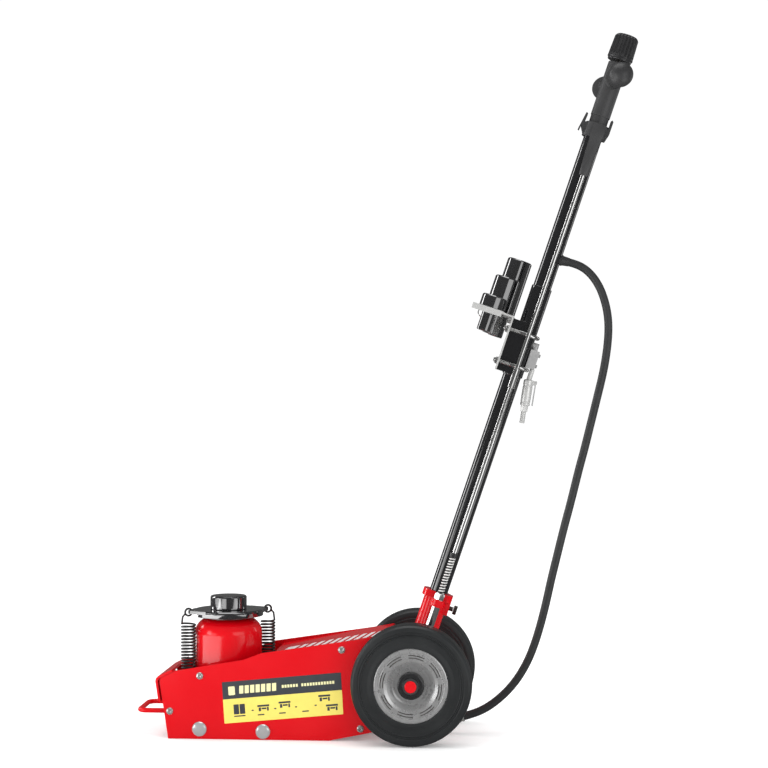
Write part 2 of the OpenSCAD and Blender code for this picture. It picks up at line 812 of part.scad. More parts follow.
module clamp_screw() {
  color("dimgray") on_handle() translate([tube_r + gap, 0, clamp_z]) rotate([0, 90, 0]) {
    cylinder(r = rod_r, h = 18);
    difference() {
      translate([0, 0, 18]) cylinder(r = 8, h = 6.5);
      for (a = [0:30:330]) rotate([0, 0, a]) translate([8.3, 0, 17]) cylinder(r = 0.9, h = 9);
    }
  }
}

flutes = 20;
knob_taper = 2.4; // inward lean of the knob's side and its flutes
module release_knob() {
  color("black") on_handle() {
    difference() {
      union() {
        translate([0, 0, knob_low]) cylinder(r = 21, h = 4);
        translate([0, 0, knob_low + 4]) cylinder(r = 22.5, h = 6);
        translate([0, 0, knob_low + 10]) cylinder(r1 = 22.5, r2 = 21, h = knob_top - knob_low - 14);
        translate([0, 0, knob_top - 4]) cylinder(r1 = 21, r2 = 18, h = 4);
      }
      for (i = [0:flutes - 1]) rotate([0, 0, i * 360 / flutes])
        translate([23.6, 0, knob_low + 6]) rotate([0, -knob_taper, 0]) cylinder(r = 2.2, h = 60);
    }
  }
}

// Long rod down the inside of the handle, turned by the knob
module release_rod() {
  color("silver") on_handle() translate([0, 0, 40]) cylinder(r = 5, h = knob_low - 40);
}

// Release valve spindle with a fork for the joint to the handle's release rod
module release_valve() {
  color("silver") {
    bar_x(spindle_y, spindle_z, spindle_r, pump_x[0] + 15, 284);
    difference() {
      bar_x(spindle_y, spindle_z, 9, 284, 300);
      translate([290, spindle_y - 3, spindle_z - 10]) cube([12, 6, 20]);
    }
  }
}

module adapter(i) {
  on_rack() translate([0, (i - 1) * rack_pitch, 0]) {
    cylinder(r = adapter_r, h = adapter_h[i] - 2);
    translate([0, 0, adapter_h[i] - 2]) cylinder(r1 = adapter_r, r2 = adapter_r - 2, h = 2);
    translate([0, 0, -41]) cylinder(r = spigot_r, h = 41);
  }
}

module adapter_short() { color("black") adapter(0); }
module adapter_middle() { color("black") adapter(1); }
module adapter_tall() { color("black") adapter(2); }

side_plate_near();
side_plate_far();
base_plate();
front_sheet();
cross_bars();
top_cover();
carry_handle();
base_bolts();
cover_screws();
jack_base();
pump_body();
oil_tank();
cylinder_tube();
gland_nut();
filler_plug();
spring_posts();
air_motor();
air_inlet();
hose_ferrule();
hose();
axle();
axle_clips();
lock_sector();
axle_spacer();
ram();
spring_plate();
spring_front();
spring_rear();
saddle();
tyre_near();
rim_near();
hub_near();
tyre_far();
rim_far();
hub_far();
socket();
tube_lower();
tube_upper();
joint_sleeve();
clamp_block();
u_bolts();
adapter_rack();
rack_ring();
rod_guide();
hose_grommet();
tee_bar();
tee_grips();
air_block();
air_valve();
valve_lever();
lock_rods();
lock_spring();
lock_collar();
clamp_screw();
release_knob();
release_rod();
release_valve();
adapter_short();
adapter_middle();
adapter_tall();
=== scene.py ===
"""Looks of the air-hydraulic axle jack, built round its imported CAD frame. The shape code works in mm."""
import json
import math

import bmesh
import bpy
from mathutils import Matrix, Vector

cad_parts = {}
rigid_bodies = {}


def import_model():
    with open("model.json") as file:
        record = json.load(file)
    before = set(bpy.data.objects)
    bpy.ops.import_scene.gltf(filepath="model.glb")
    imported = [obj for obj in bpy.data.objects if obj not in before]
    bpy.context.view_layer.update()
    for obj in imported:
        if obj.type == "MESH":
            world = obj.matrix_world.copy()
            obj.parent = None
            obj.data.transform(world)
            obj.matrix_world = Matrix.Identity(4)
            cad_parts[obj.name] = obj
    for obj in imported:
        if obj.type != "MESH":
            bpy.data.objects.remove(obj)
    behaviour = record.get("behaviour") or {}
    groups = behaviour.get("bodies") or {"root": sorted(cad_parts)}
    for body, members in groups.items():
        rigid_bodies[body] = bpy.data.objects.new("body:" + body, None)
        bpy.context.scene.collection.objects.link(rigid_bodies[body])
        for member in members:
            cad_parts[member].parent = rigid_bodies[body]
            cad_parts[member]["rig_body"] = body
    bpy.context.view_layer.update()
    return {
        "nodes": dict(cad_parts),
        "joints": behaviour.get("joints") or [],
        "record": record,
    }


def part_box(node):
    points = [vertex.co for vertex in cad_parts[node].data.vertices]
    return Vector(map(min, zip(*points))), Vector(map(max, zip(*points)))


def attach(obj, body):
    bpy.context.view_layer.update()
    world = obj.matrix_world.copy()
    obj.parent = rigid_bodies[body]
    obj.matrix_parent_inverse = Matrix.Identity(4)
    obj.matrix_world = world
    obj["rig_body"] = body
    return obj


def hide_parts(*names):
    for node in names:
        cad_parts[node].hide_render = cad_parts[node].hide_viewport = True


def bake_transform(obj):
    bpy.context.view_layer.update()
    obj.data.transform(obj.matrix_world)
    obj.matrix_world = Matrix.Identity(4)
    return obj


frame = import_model()

MM = 0.001
X, Y, Z = Vector((1, 0, 0)), Vector((0, 1, 0)), Vector((0, 0, 1))

# ---------------------------------------------------------------- places worked out from the frame


def joint(name):
    return next(j for j in frame["joints"] if j["name"] == name)


def box_mm(node):
    lo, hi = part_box(node)
    return lo / MM, hi / MM


def basis(origin, x, y, z):
    """Matrix from millimetres in a local frame, given by its origin and axes, to metres in the world."""
    m = Matrix((x, y, z)).transposed().to_4x4()
    return Matrix.Translation(Vector(origin) * MM) @ m @ Matrix.Scale(MM, 4)


WORLD = basis((0, 0, 0), X, Y, Z)
axle_lo, axle_hi = box_mm("axle")
AXLE = (axle_lo + axle_hi) / 2
UP = Vector(joint("lock_lift")["axis"]).normalized()
BACK = Y.cross(UP)
# Handle frame: x across to the rear, y along the axle, z up the tube, with z = 0 level with the axle
KNOB_W = 1126
HANDLE_AT = Vector(joint("knob_turn")["pos_m"]) / MM - UP * KNOB_W
HANDLE = basis(HANDLE_AT, BACK, Y, UP)


def along(axis, origin, base=Matrix.Identity(4)):
    """Frame inside base whose z runs along axis from origin, both given in base's own units."""
    z = Vector(axis).normalized()
    side = Y if abs(z.dot(Y)) < 0.9 else X
    x = side.cross(z).normalized()
    m = Matrix((x, z.cross(x), z)).transposed().to_4x4()
    return base @ Matrix.Translation(Vector(origin)) @ m


# ---------------------------------------------------------------- materials


def node_in(tree, kind, **values):
    """A new shader node with the given input values."""
    n = tree.nodes.new(kind)
    for key, value in values.items():
        n.inputs[key].default_value = value
    return n


def material(name, colour, rough, metal=0.0, coat=0.0, spread=0.06, patch=25.0, grain=0.0,
             grain_scale=900.0, rough_spread=0.05, spec=0.5, spangle=0.0, coat_ior=1.5):
    """A procedural material. Noise of scale patch varies its colour by spread and its roughness by
    rough_spread. grain is the strength of a fine bump, and spangle the scale of zinc crystals."""
    m = bpy.data.materials.new(name)
    m.use_nodes = True
    t = m.node_tree
    shader = t.nodes["Principled BSDF"]
    shader.inputs["Metallic"].default_value = metal
    shader.inputs["Coat Weight"].default_value = coat
    shader.inputs["Coat Roughness"].default_value = 0.04
    shader.inputs["Coat IOR"].default_value = coat_ior
    shader.inputs["Specular IOR Level"].default_value = spec
    place = t.nodes.new("ShaderNodeTexCoord").outputs["Object"]
    cloud = node_in(t, "ShaderNodeTexNoise", Scale=patch, Detail=4.0, Roughness=0.6)
    t.links.new(place, cloud.inputs["Vector"])
    source = cloud.outputs["Fac"]
    if spangle:
        cells = node_in(t, "ShaderNodeTexVoronoi", Scale=spangle)
        t.links.new(place, cells.inputs["Vector"])
        mix = t.nodes.new("ShaderNodeMath")
        mix.operation = "MULTIPLY_ADD"
        mix.inputs[1].default_value = 0.5
        t.links.new(cells.outputs["Color"], mix.inputs[0])
        half = t.nodes.new("ShaderNodeMath")
        half.operation = "MULTIPLY"
        half.inputs[1].default_value = 0.5
        t.links.new(cloud.outputs["Fac"], half.inputs[0])
        t.links.new(half.outputs[0], mix.inputs[2])
        source = mix.outputs[0]
    ramp = t.nodes.new("ShaderNodeValToRGB")
    ramp.color_ramp.elements[0].position = 0.25
    ramp.color_ramp.elements[1].position = 0.75
    ramp.color_ramp.elements[0].color = (*[c * (1 - spread) for c in colour], 1)
    ramp.color_ramp.elements[1].color = (*[min(1, c * (1 + spread)) for c in colour], 1)
    t.links.new(source, ramp.inputs["Fac"])
    t.links.new(ramp.outputs["Color"], shader.inputs["Base Color"])
    gloss = node_in(t, "ShaderNodeMapRange", **{"From Min": 0.3, "From Max": 0.7,
                                                "To Min": max(0.0, rough - rough_spread),
                                                "To Max": min(1.0, rough + rough_spread)})
    t.links.new(source, gloss.inputs["Value"])
    t.links.new(gloss.outputs["Result"], shader.inputs["Roughness"])
    if grain:
        fine = node_in(t, "ShaderNodeTexNoise", Scale=grain_scale, Detail=3.0, Roughness=0.55)
        t.links.new(place, fine.inputs["Vector"])
        bump = node_in(t, "ShaderNodeBump", Strength=grain, Distance=0.0004)
        t.links.new(fine.outputs["Fac"], bump.inputs["Height"])
        t.links.new(bump.outputs["Normal"], shader.inputs["Normal"])
        if coat:
            t.links.new(bump.outputs["Normal"], shader.inputs["Coat Normal"])
    return m


RED = material("red_enamel", (0.62, 0.0012, 0.006), 0.16, spread=0.05, patch=9, grain=0.03,
               grain_scale=700, rough_spread=0.03)
BLACK = material("black_enamel", (0.006, 0.006, 0.007), 0.12, coat=0.9, spread=0.2, patch=20,
                 grain=0.02, grain_scale=900, rough_spread=0.03, spec=0.95)
LACQUER = material("black_lacquer", (0.006, 0.006, 0.007), 0.12, coat=1.0, spread=0.2, patch=20,
                   grain=0.015, grain_scale=900, rough_spread=0.03, spec=0.9, coat_ior=2.3)
SATIN = material("black_plastic", (0.020, 0.020, 0.021), 0.24, spread=0.15, grain=0.12,
                 grain_scale=1500)
MATT = material("black_casting", (0.040, 0.040, 0.041), 0.4, spread=0.15, grain=0.3, grain_scale=1100)
RUBBER = material("grip_rubber", (0.026, 0.026, 0.027), 0.36, spread=0.2, grain=0.5, grain_scale=1200)
HOSE = material("hose_rubber", (0.024, 0.025, 0.026), 0.46, spread=0.2, grain=0.5, grain_scale=900)
TYRE = material("tyre_rubber", (0.019, 0.021, 0.022), 0.42, spread=0.18, patch=14, grain=0.3,
                grain_scale=700, rough_spread=0.09)
ZINC = material("zinc_plate", (0.62, 0.62, 0.60), 0.24, metal=0.75, spread=0.12, patch=60, grain=0.12,
                grain_scale=700)
WHEEL = material("pressed_zinc", (0.56, 0.56, 0.56), 0.3, metal=0.7, spread=0.06, patch=45,
                 grain=0.08, grain_scale=620, spangle=150)
CHROME = material("chrome", (0.72, 0.73, 0.74), 0.1, metal=0.6, spread=0.04, patch=30,
                  rough_spread=0.03)
NICKEL = material("nickel_fittings", (0.80, 0.80, 0.79), 0.13, metal=1, spread=0.08, patch=80,
                  grain=0.05, grain_scale=900)
ALLOY = material("cast_alloy", (0.50, 0.50, 0.50), 0.38, metal=0.5, spread=0.1, patch=60, grain=0.3,
                 grain_scale=800)
PALE = material("satin_nickel", (0.62, 0.62, 0.61), 0.26, metal=0.45, spread=0.05, patch=80, grain=0.05)
CAST = material("cast_iron", (0.035, 0.035, 0.036), 0.5, metal=0.4, spread=0.2, patch=40, grain=0.7,
                grain_scale=420)
DARK = material("dark_steel", (0.16, 0.145, 0.135), 0.38, metal=1, spread=0.2, patch=120, grain=0.2)
SPRING = material("spring_steel", (0.022, 0.022, 0.023), 0.3, metal=0.3, coat=0.5, spread=0.2,
                  patch=90)
BRIGHT = material("bright_zinc", (0.86, 0.86, 0.84), 0.3, metal=0.3, spread=0.05, patch=90, grain=0.05)
LABEL_YELLOW = material("label_yellow", (0.84, 0.72, 0.14), 0.35, coat=0.3, spread=0.05, patch=70)
LABEL_DARK = material("label_dark", (0.045, 0.052, 0.062), 0.35, coat=0.3, spread=0.12, patch=50)
LABEL_LIGHT = material("label_light", (0.80, 0.78, 0.42), 0.4, spread=0.05, patch=60)
STRIPE = material("stripe_white", (0.86, 0.80, 0.80), 0.35, coat=0.3, spread=0.05, patch=60)

# ---------------------------------------------------------------- shapes


def arc_points(a, b, c, radius, steps):
    """Points that round the corner b between a and c in a plane of two numbers."""
    a, b, c = Vector(a), Vector(b), Vector(c)
    u, v = a - b, c - b
    if radius <= 0 or u.length < 1e-6 or v.length < 1e-6:
        return [b]
    u_n, v_n = u.normalized(), v.normalized()
    turn = u_n.angle(v_n)
    if turn > math.pi - 0.02:
        return [b]
    back = min(radius / math.tan(turn / 2), 0.49 * u.length, 0.49 * v.length)
    radius = back * math.tan(turn / 2)
    centre = b + (u_n + v_n).normalized() * radius / math.sin(turn / 2)
    p, q = b + u_n * back, b + v_n * back
    sweep = math.pi - turn
    s = math.sin(sweep)
    out = []
    for i in range(steps + 1):
        k = i / steps
        if s < 1e-6:
            d = (p - centre).lerp(q - centre, k)
        else:
            d = (p - centre) * math.sin((1 - k) * sweep) / s + (q - centre) * math.sin(k * sweep) / s
        out.append(centre + d)
    return out


def rounded(points, radius=1.0, steps=3, closed=False):
    """points with every inner corner rounded. A point of three numbers gives its own radius last."""
    pts = [Vector(p[:2]) for p in points]
    own = [p[2] if len(p) > 2 else radius for p in points]
    n = len(pts)
    out = []
    for i in range(n):
        if not closed and i in (0, n - 1):
            out.append(pts[i])
        else:
            out += arc_points(pts[i - 1], pts[i], pts[(i + 1) % n], own[i], steps)
    return [tuple(p) for p in out]


SHARP = 32   # degrees: an edge that turns more stays crisp, or gets the bevel


class Shape:
    """Gathers vertices and faces in local mm, then makes one piece of them."""

    def __init__(self):
        self.v, self.f = [], []

    def add(self, verts, faces, m=None):
        base = len(self.v)
        self.v += [tuple(m @ Vector(p)) if m else tuple(p) for p in verts]
        self.f += [[base + i for i in f] for f in faces]
        return self

    def lathe(self, profile, m=None, n=64, closed=False, bend=None):
        """Turns (radius, height) pairs about z. closed joins the last pair to the first, and bend changes
        the radius from (radius, height, angle)."""
        verts, faces, rings = [], [], []
        for r, z in profile:
            if r < 1e-6:
                rings.append([len(verts)])
                verts.append((0, 0, z))
            else:
                rings.append(list(range(len(verts), len(verts) + n)))
                for i in range(n):
                    a = 2 * math.pi * i / n
                    k = bend(r, z, a) if bend else r
                    verts.append((k * math.cos(a), k * math.sin(a), z))
        pairs = list(zip(rings, rings[1:])) + ([(rings[-1], rings[0])] if closed else [])
        for p, q in pairs:
            for i in range(n):
                j = (i + 1) % n
                if len(p) == 1 and len(q) == 1:
                    continue
                if len(p) == 1:
                    faces.append([p[0], q[j], q[i]])
                elif len(q) == 1:
                    faces.append([p[i], p[j], q[0]])
                else:
                    faces.append([p[i], p[j], q[j], q[i]])
        return self.add(verts, faces, m)

    def sweep(self, path, r, m=None, n=14, closed=False):
        """A round bar of radius r (or a list of radii) along path."""
        path = [Vector(p) for p in path]
        count = len(path)
        radii = r if isinstance(r, (list, tuple)) else [r] * count
        verts, faces = [], []
        side = None
        for i, p in enumerate(path):
            ahead = path[(i + 1) % count] if closed else path[min(i + 1, count - 1)]
            behind = path[i - 1] if closed or i else path[0]
            t = (ahead - behind).normalized()
            if side is None:
                side = t.orthogonal().normalized()
            side = (side - t * side.dot(t)).normalized()
            other = t.cross(side)
            for k in range(n):
                a = 2 * math.pi * k / n
                verts.append(p + (side * math.cos(a) + other * math.sin(a)) * radii[i])
        for i in range(count if closed else count - 1):
            a, b = i * n, ((i + 1) % count) * n
            for k in range(n):
                j = (k + 1) % n
                faces.append([a + k, a + j, b + j, b + k])
        if not closed:
            faces += [list(range(n - 1, -1, -1)), list(range((count - 1) * n, count * n))]
        return self.add(verts, faces, m)

    def prism(self, outline, z0, z1, m=None):
        """A plate with an outline in x and y, from z0 to z1."""
        n = len(outline)
        verts = [(x, y, z) for z in (z0, z1) for x, y in outline]
        faces = [list(range(n - 1, -1, -1)), list(range(n, 2 * n))]
        faces += [[i, (i + 1) % n, n + (i + 1) % n, n + i] for i in range(n)]
        return self.add(verts, faces, m)

    def make(self, name, mat, body, base=WORLD, stands_for=(), slot=None, bevel=0.0, sharp=SHARP,
             blend=None):
        """One piece on a body; given blend, it stays on no body with its place baked in, and the points of
        blend are not used. base takes the shape's numbers to metres.
        """
        mesh = bpy.data.meshes.new(name)
        mesh.from_pydata([tuple(base @ Vector(p)) for p in self.v], [], self.f)
        return finish_piece(name, mesh, mat, body, stands_for, slot, bevel, sharp, blend)


def finish_piece(name, mesh, mat, body, stands_for, slot, bevel, sharp, blend=None):
    bm = bmesh.new()
    bm.from_mesh(mesh)
    bmesh.ops.recalc_face_normals(bm, faces=bm.faces)
    bm.to_mesh(mesh)
    bm.free()
    mesh.polygons.foreach_set("use_smooth", [True] * len(mesh.polygons))
    mesh.set_sharp_from_angle(angle=math.radians(sharp))
    mesh.materials.append(mat)
    o = bpy.data.objects.new(name, mesh)
    bpy.context.scene.collection.objects.link(o)
    if bevel:
        edge = o.modifiers.new("edge", "BEVEL")
        edge.width, edge.segments = bevel * MM, 2
        edge.limit_method, edge.angle_limit = "ANGLE", math.radians(sharp)
        edge.harden_normals = True
    else:
        even = o.modifiers.new("even", "WEIGHTED_NORMAL")
        even.keep_sharp = True
    if blend:
        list(blend)
        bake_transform(o)
    else:
        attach(o, body)
    if stands_for:
        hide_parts(*stands_for)
    return o


def body_with(node):
    return frame["nodes"][node]["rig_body"]


def slot_of(node):
    return next(s["material_slot"] for s in frame["record"]["subparts"] if s["node"] == node)


def refine(node, mat, bevel):
    """A piece with the CAD node's own shape, its flat faces cleaned and its edges rounded."""
    bm = bmesh.new()
    bm.from_mesh(frame["nodes"][node].data)
    bmesh.ops.remove_doubles(bm, verts=bm.verts, dist=2e-6)
    bmesh.ops.dissolve_limit(bm, angle_limit=math.radians(0.4), verts=bm.verts, edges=bm.edges)
    mesh = bpy.data.meshes.new(node + "_fine")
    bm.to_mesh(mesh)
    bm.free()
    return finish_piece(node + "_fine", mesh, mat, body_with(node), [node], slot_of(node), bevel, SHARP)


def stand_for(shape, node, mat, base=WORLD, **more):
    """Makes a shape the piece that replaces one CAD node, on that node's body."""
    return shape.make(node + "_fine", mat, body_with(node), base, [node], slot_of(node), **more)


def hexagonal(corner):
    """Bends a lathe into a hexagon whose corners are chamfered by the round profile."""
    def bend(r, z, a):
        k = (a + math.pi / 6) % (math.pi / 3) - math.pi / 6
        return min(r, corner * math.cos(math.pi / 6) / math.cos(k))
    return bend


def nut(shape, corner, height, bore, m):
    """A hexagon nut with chamfered corners, its lower face at z = 0."""
    c = corner
    profile = [(bore, 0.3), (bore + 0.5, 0), (c * 0.9, 0), (c * 1.01, height * 0.14),
               (c * 1.01, height * 0.86), (c * 0.9, height), (bore + 0.5, height), (bore, height - 0.3)]
    return shape.lathe(profile, m, n=72, closed=True, bend=hexagonal(c))


def helix(r, z0, z1, turns, per_turn):
    """Points of an even coil about z, from z0 to z1."""
    n = turns * per_turn
    return [Vector((r * math.cos(2 * math.pi * i / per_turn), r * math.sin(2 * math.pi * i / per_turn),
                    z0 + (z1 - z0) * i / n)) for i in range(n + 1)]


# ---------------------------------------------------------------- camera and light

CAMERA_AT = (0.4972, -3.0077, 0.5786)
CAMERA_TURN = (math.radians(90.6), 0, math.radians(4.23))
scene = bpy.context.scene
camera = bpy.data.objects.new("camera", bpy.data.cameras.new("camera"))
camera.location, camera.rotation_euler = CAMERA_AT, CAMERA_TURN
camera.data.sensor_width, camera.data.lens = 36, 80.61
scene.collection.objects.link(camera)
scene.camera = camera
scene.view_settings.view_transform = "Standard"


def bright(name, at, aim, width, height, radiance):
    """A softbox of a given radiance that only reflections and shading see."""
    light = bpy.data.lights.new(name, "AREA")
    light.shape, light.size, light.size_y = "RECTANGLE", width, height
    light.energy = radiance * math.pi * width * height
    o = bpy.data.objects.new(name, light)
    o.location = at
    o.rotation_euler = (Vector(aim) - Vector(at)).to_track_quat("-Z", "Y").to_euler()
    scene.collection.objects.link(o)
    o.visible_camera = False


# The panels that lie flat stand for the light that a bright studio floor throws up
FLAT = 0.004
bright("floor_left", (-0.95, -0.78, FLAT), (-0.95, -0.78, 1), 1.3, 1.45, 3.0)
bright("floor_right", (1.45, -0.8, FLAT), (1.45, -0.8, 1), 0.95, 1.3, 1.5)
bright("floor_far_front", (-0.62, -1.95, FLAT), (-0.62, -1.95, 1), 0.9, 0.75, 1.7)
bright("floor_far_left", (-1.72, -1.1, FLAT), (-1.72, -1.1, 1), 0.8, 1.7, 1.5)
bright("floor_far_right", (1.75, -0.9, FLAT), (1.75, -0.9, 1), 0.5, 1.4, 0.6)
bright("floor_back_left", (-0.95, 0.78, FLAT), (-0.95, 0.78, 1), 0.5, 0.75, 5.0)
bright("panel_right", (1.95, -1.95, 0.72), (0.4, 0, 0.7), 1.9, 1.1, 1.4)
bright("panel_left", (-2.4, -1.3, 0.75), (0.1, 0, 0.6), 0.9, 1.1, 2.6)
bright("panel_left_low", (-2.2, -1.9, 0.5), (0.3, 0, 0.4), 1.7, 0.75, 1.7)
bright("strip_left", (-2.55, 0.95, 1.35), (0.4, 0, 0.7), 0.46, 2.5, 7)
bright("strip_right", (3.0, 1.7, 0.8), (0.4, 0, 0.6), 0.3, 1.6, 2.2)
bright("top", (0.2, -0.2, 3.0), (0.25, 0, 0.3), 2.2, 1.6, 1.9)

# The sky is bright for soft light, and dim where it is reflected
world = bpy.data.worlds.new("studio")
world.use_nodes = True
scene.world = world
wt = world.node_tree
background = wt.nodes["Background"]
background.inputs["Color"].default_value = (1, 1, 1, 1)
path_kind = wt.nodes.new("ShaderNodeLightPath")
level = wt.nodes.new("ShaderNodeMapRange")
level.inputs["To Min"].default_value = 1.04
level.inputs["To Max"].default_value = 0.11
wt.links.new(path_kind.outputs["Is Glossy Ray"], level.inputs["Value"])
wt.links.new(level.outputs["Result"], background.inputs["Strength"])

# The floor is pale, and dim where it is reflected
floor_mat = material("pale_floor", (0.95, 0.95, 0.95), 0.8, spread=0.005, patch=3, spec=0.1)
ft = floor_mat.node_tree
floor_path = ft.nodes.new("ShaderNodeLightPath")
ft.nodes["Principled BSDF"].inputs["Emission Color"].default_value = (1, 1, 1, 1)
ft.nodes["Principled BSDF"].inputs["Emission Strength"].default_value = 0.16
dim = node_in(ft, "ShaderNodeEmission", Strength=0.12)
either = ft.nodes.new("ShaderNodeMixShader")
ft.links.new(floor_path.outputs["Is Glossy Ray"], either.inputs["Fac"])
ft.links.new(ft.nodes["Principled BSDF"].outputs["BSDF"], either.inputs[1])
ft.links.new(dim.outputs["Emission"], either.inputs[2])
ft.links.new(either.outputs["Shader"], ft.nodes["Material Output"].inputs["Surface"])
floor_mesh = bpy.data.meshes.new("floor")
FLOOR = 9.0
floor_mesh.from_pydata([(-FLOOR, -FLOOR, 0), (FLOOR, -FLOOR, 0), (FLOOR, FLOOR, 0), (-FLOOR, FLOOR, 0)],
                       [], [(0, 1, 2, 3)])
floor_mesh.materials.append(floor_mat)
floor = bpy.data.objects.new("floor", floor_mesh)
floor.location.z = -0.0005
scene.collection.objects.link(floor)

# ---------------------------------------------------------------- air hose

HOSE_R = 7
# Control points of the hose's middle line in X and Z, the same as in part.scad
ROUTE = [
    (412, 30), (444, 39), (472, 58), (497, 82), (516, 109), (531, 139), (542, 171), (551, 203),
    (559, 236), (566, 269), (574, 301), (582, 334), (590, 366), (599, 399), (607, 431), (615, 464),
    (624, 496), (632, 529), (640, 561), (648, 594), (656, 626), (662, 659), (666, 693), (666, 726),
    (659, 759), (646, 790), (622, 816), (589, 824)]


def route_at(i):
    """Control point i, with one more added beyond each end."""
    last = len(ROUTE) - 1
    if i < 0:
        return 2 * Vector(ROUTE[0]) - Vector(ROUTE[1])
    if i > last:
        return 2 * Vector(ROUTE[last]) - Vector(ROUTE[last - 1])
    return Vector(ROUTE[i])


def hose_path(steps):
    """The same B-spline as the CAD hose, as points in X and Z."""
    out = []
    for i in range(len(ROUTE) - 1):
        a, b, c, d = (route_at(i + k) for k in (-1, 0, 1, 2))
        for k in range(steps):
            t = k / steps
            s = 1 - t
            p = (s**3 * a + (3 * t**3 - 6 * t * t + 4) * b + (3 * s**3 - 6 * s * s + 4) * c + t**3 * d) / 6
            out.append(Vector((p.x, 0, p.y)))
    return out + [Vector((ROUTE[-1][0], 0, ROUTE[-1][1]))]


hose_line = hose_path(8)
hose_shape = Shape().sweep(hose_line, HOSE_R, n=24)
HOSE_FREE_TO = 470   # meant as the height above which the hose follows only the handle, the chassis below; make does not use this blend
hose_lifts = next(p for p in hose_line if p.z > HOSE_FREE_TO)
hose = hose_shape.make("air_hose", HOSE, "chassis", stands_for=["hose"], slot=slot_of("hose"), sharp=60,
                       blend=("chassis", "handle", hose_line[0] * MM, hose_lifts * MM))

toward_jack = (hose_line[0] - hose_line[2]).normalized()
ferrule = Shape()
at_ferrule = along(toward_jack, hose_line[0])
crimp = [(HOSE_R - 1, -2), (HOSE_R + 1.2, -2), (HOSE_R + 1.8, -1)]
for k in range(3):
    z = 1.5 + 4.6 * k
    crimp += [(HOSE_R + 1.8, z), (HOSE_R + 0.8, z + 0.8), (HOSE_R + 0.8, z + 2.2), (HOSE_R + 1.8, z + 3)]
crimp += [(HOSE_R + 1.8, 15.2), (HOSE_R + 1, 16), (HOSE_R - 1, 16)]
ferrule.lathe(rounded(crimp, 0.4), at_ferrule, n=48, closed=True)
nut(ferrule, 9.5, 8, 5.2, at_ferrule @ Matrix.Translation((0, 0, 16)))
stand_for(ferrule, "hose_ferrule", ZINC)

into_tube = (hose_line[-1] - hose_line[-3]).normalized()
at_outlet = along(into_tube, hose_line[-1])
outlet = Shape().lathe(rounded([
    (HOSE_R + 0.1, -9), (HOSE_R + 0.5, -9.2), (HOSE_R + 1.1, -2), (HOSE_R + 1.6, 2), (9.4, 3), (9.4, 7.5),
    (9.2, 15), (HOSE_R + 0.1, 15)], 0.5), at_outlet, n=48, closed=True)
stand_for(outlet, "hose_grommet", RUBBER)

# ---------------------------------------------------------------- chassis

for name, mat, edge in (
        ("side_plate_near", RED, 0.7), ("side_plate_far", RED, 0.7), ("base_plate", RED, 0.6),
        ("front_sheet", RED, 0.5), ("cross_bars", RED, 0.6), ("top_cover", RED, 0.6),
        ("jack_base", CAST, 1.2), ("pump_body", CAST, 1.5), ("cylinder_tube", DARK, 0.5),
        ("gland_nut", DARK, 0.8), ("spring_posts", CAST, 0.5), ("air_inlet", ZINC, 0.8),
        ("lock_sector", ZINC, 0.5), ("axle_spacer", ZINC, 0.4), ("axle_clips", MATT, 0.2),
        ("ram", CHROME, 0.5), ("socket", RED, 0.9), ("clamp_block", BLACK, 0.9),
        ("adapter_rack", PALE, 0.4), ("rod_guide", SATIN, 0.8), ("lock_collar", MATT, 1.2),
        ("release_rod", DARK, 0.3), ("release_valve", DARK, 0.4), ("air_block", ALLOY, 0.8)):
    refine(name, mat, edge)

PLATE_Y = box_mm("side_plate_far")[1].y


def on_side(x, z, side):
    """Frame on the outside of a side plate, its z outward. side is -1 for the near plate, 1 for the far."""
    return along((0, side, 0), (x, side * PLATE_Y, z))


# X and Z of each on a side plate, and the two lengths that the screws alternate between
BASE_BOLTS = ((-37.5, 17), (72.5, 14))
SCREWS = ((-37, 108), (-89, 47), (208, 155), (240, 21))
SHANKS = (10, 18)
bolts, screws = Shape(), Shape()
for side in (-1, 1):
    for x, z in BASE_BOLTS:
        bolts.lathe(rounded([(0, -34), (6, -34), (6, 0.05), (12.4, 0.05), (12.5, 1.2), (10.2, 3.4, 6),
                             (4.5, 4.5, 8), (0, 4.5)], 0.3, 5), on_side(x, z, side), n=64)
    for i, (x, z) in enumerate(SCREWS):
        shank = SHANKS[i % 2]
        head = [(0, -shank), (3, -shank), (3, 0.05), (6.1, 0.05), (6.2, 0.7), (5.2, 2.2, 4), (2.9, 2.95),
                (2.3, 2.7), (2.2, 1.2), (0, 1.0)]
        screws.lathe(rounded(head, 0.2, 4), on_side(x, z, side), n=48)
stand_for(bolts, "base_bolts", CHROME)
stand_for(screws, "cover_screws", ZINC)

carry_lo, carry_hi = box_mm("carry_handle")
CARRY_R = (carry_hi.z - carry_lo.z) / 2
tip, wide = carry_lo.x + CARRY_R, carry_hi.y - CARRY_R
loop = rounded([(carry_hi.x, -wide), (tip, -wide), (tip, wide), (carry_hi.x, wide)], 14, 10)
carry = Shape().sweep([(x, y, (carry_lo.z + carry_hi.z) / 2) for x, y in loop], CARRY_R, n=28)
stand_for(carry, "carry_handle", RED)

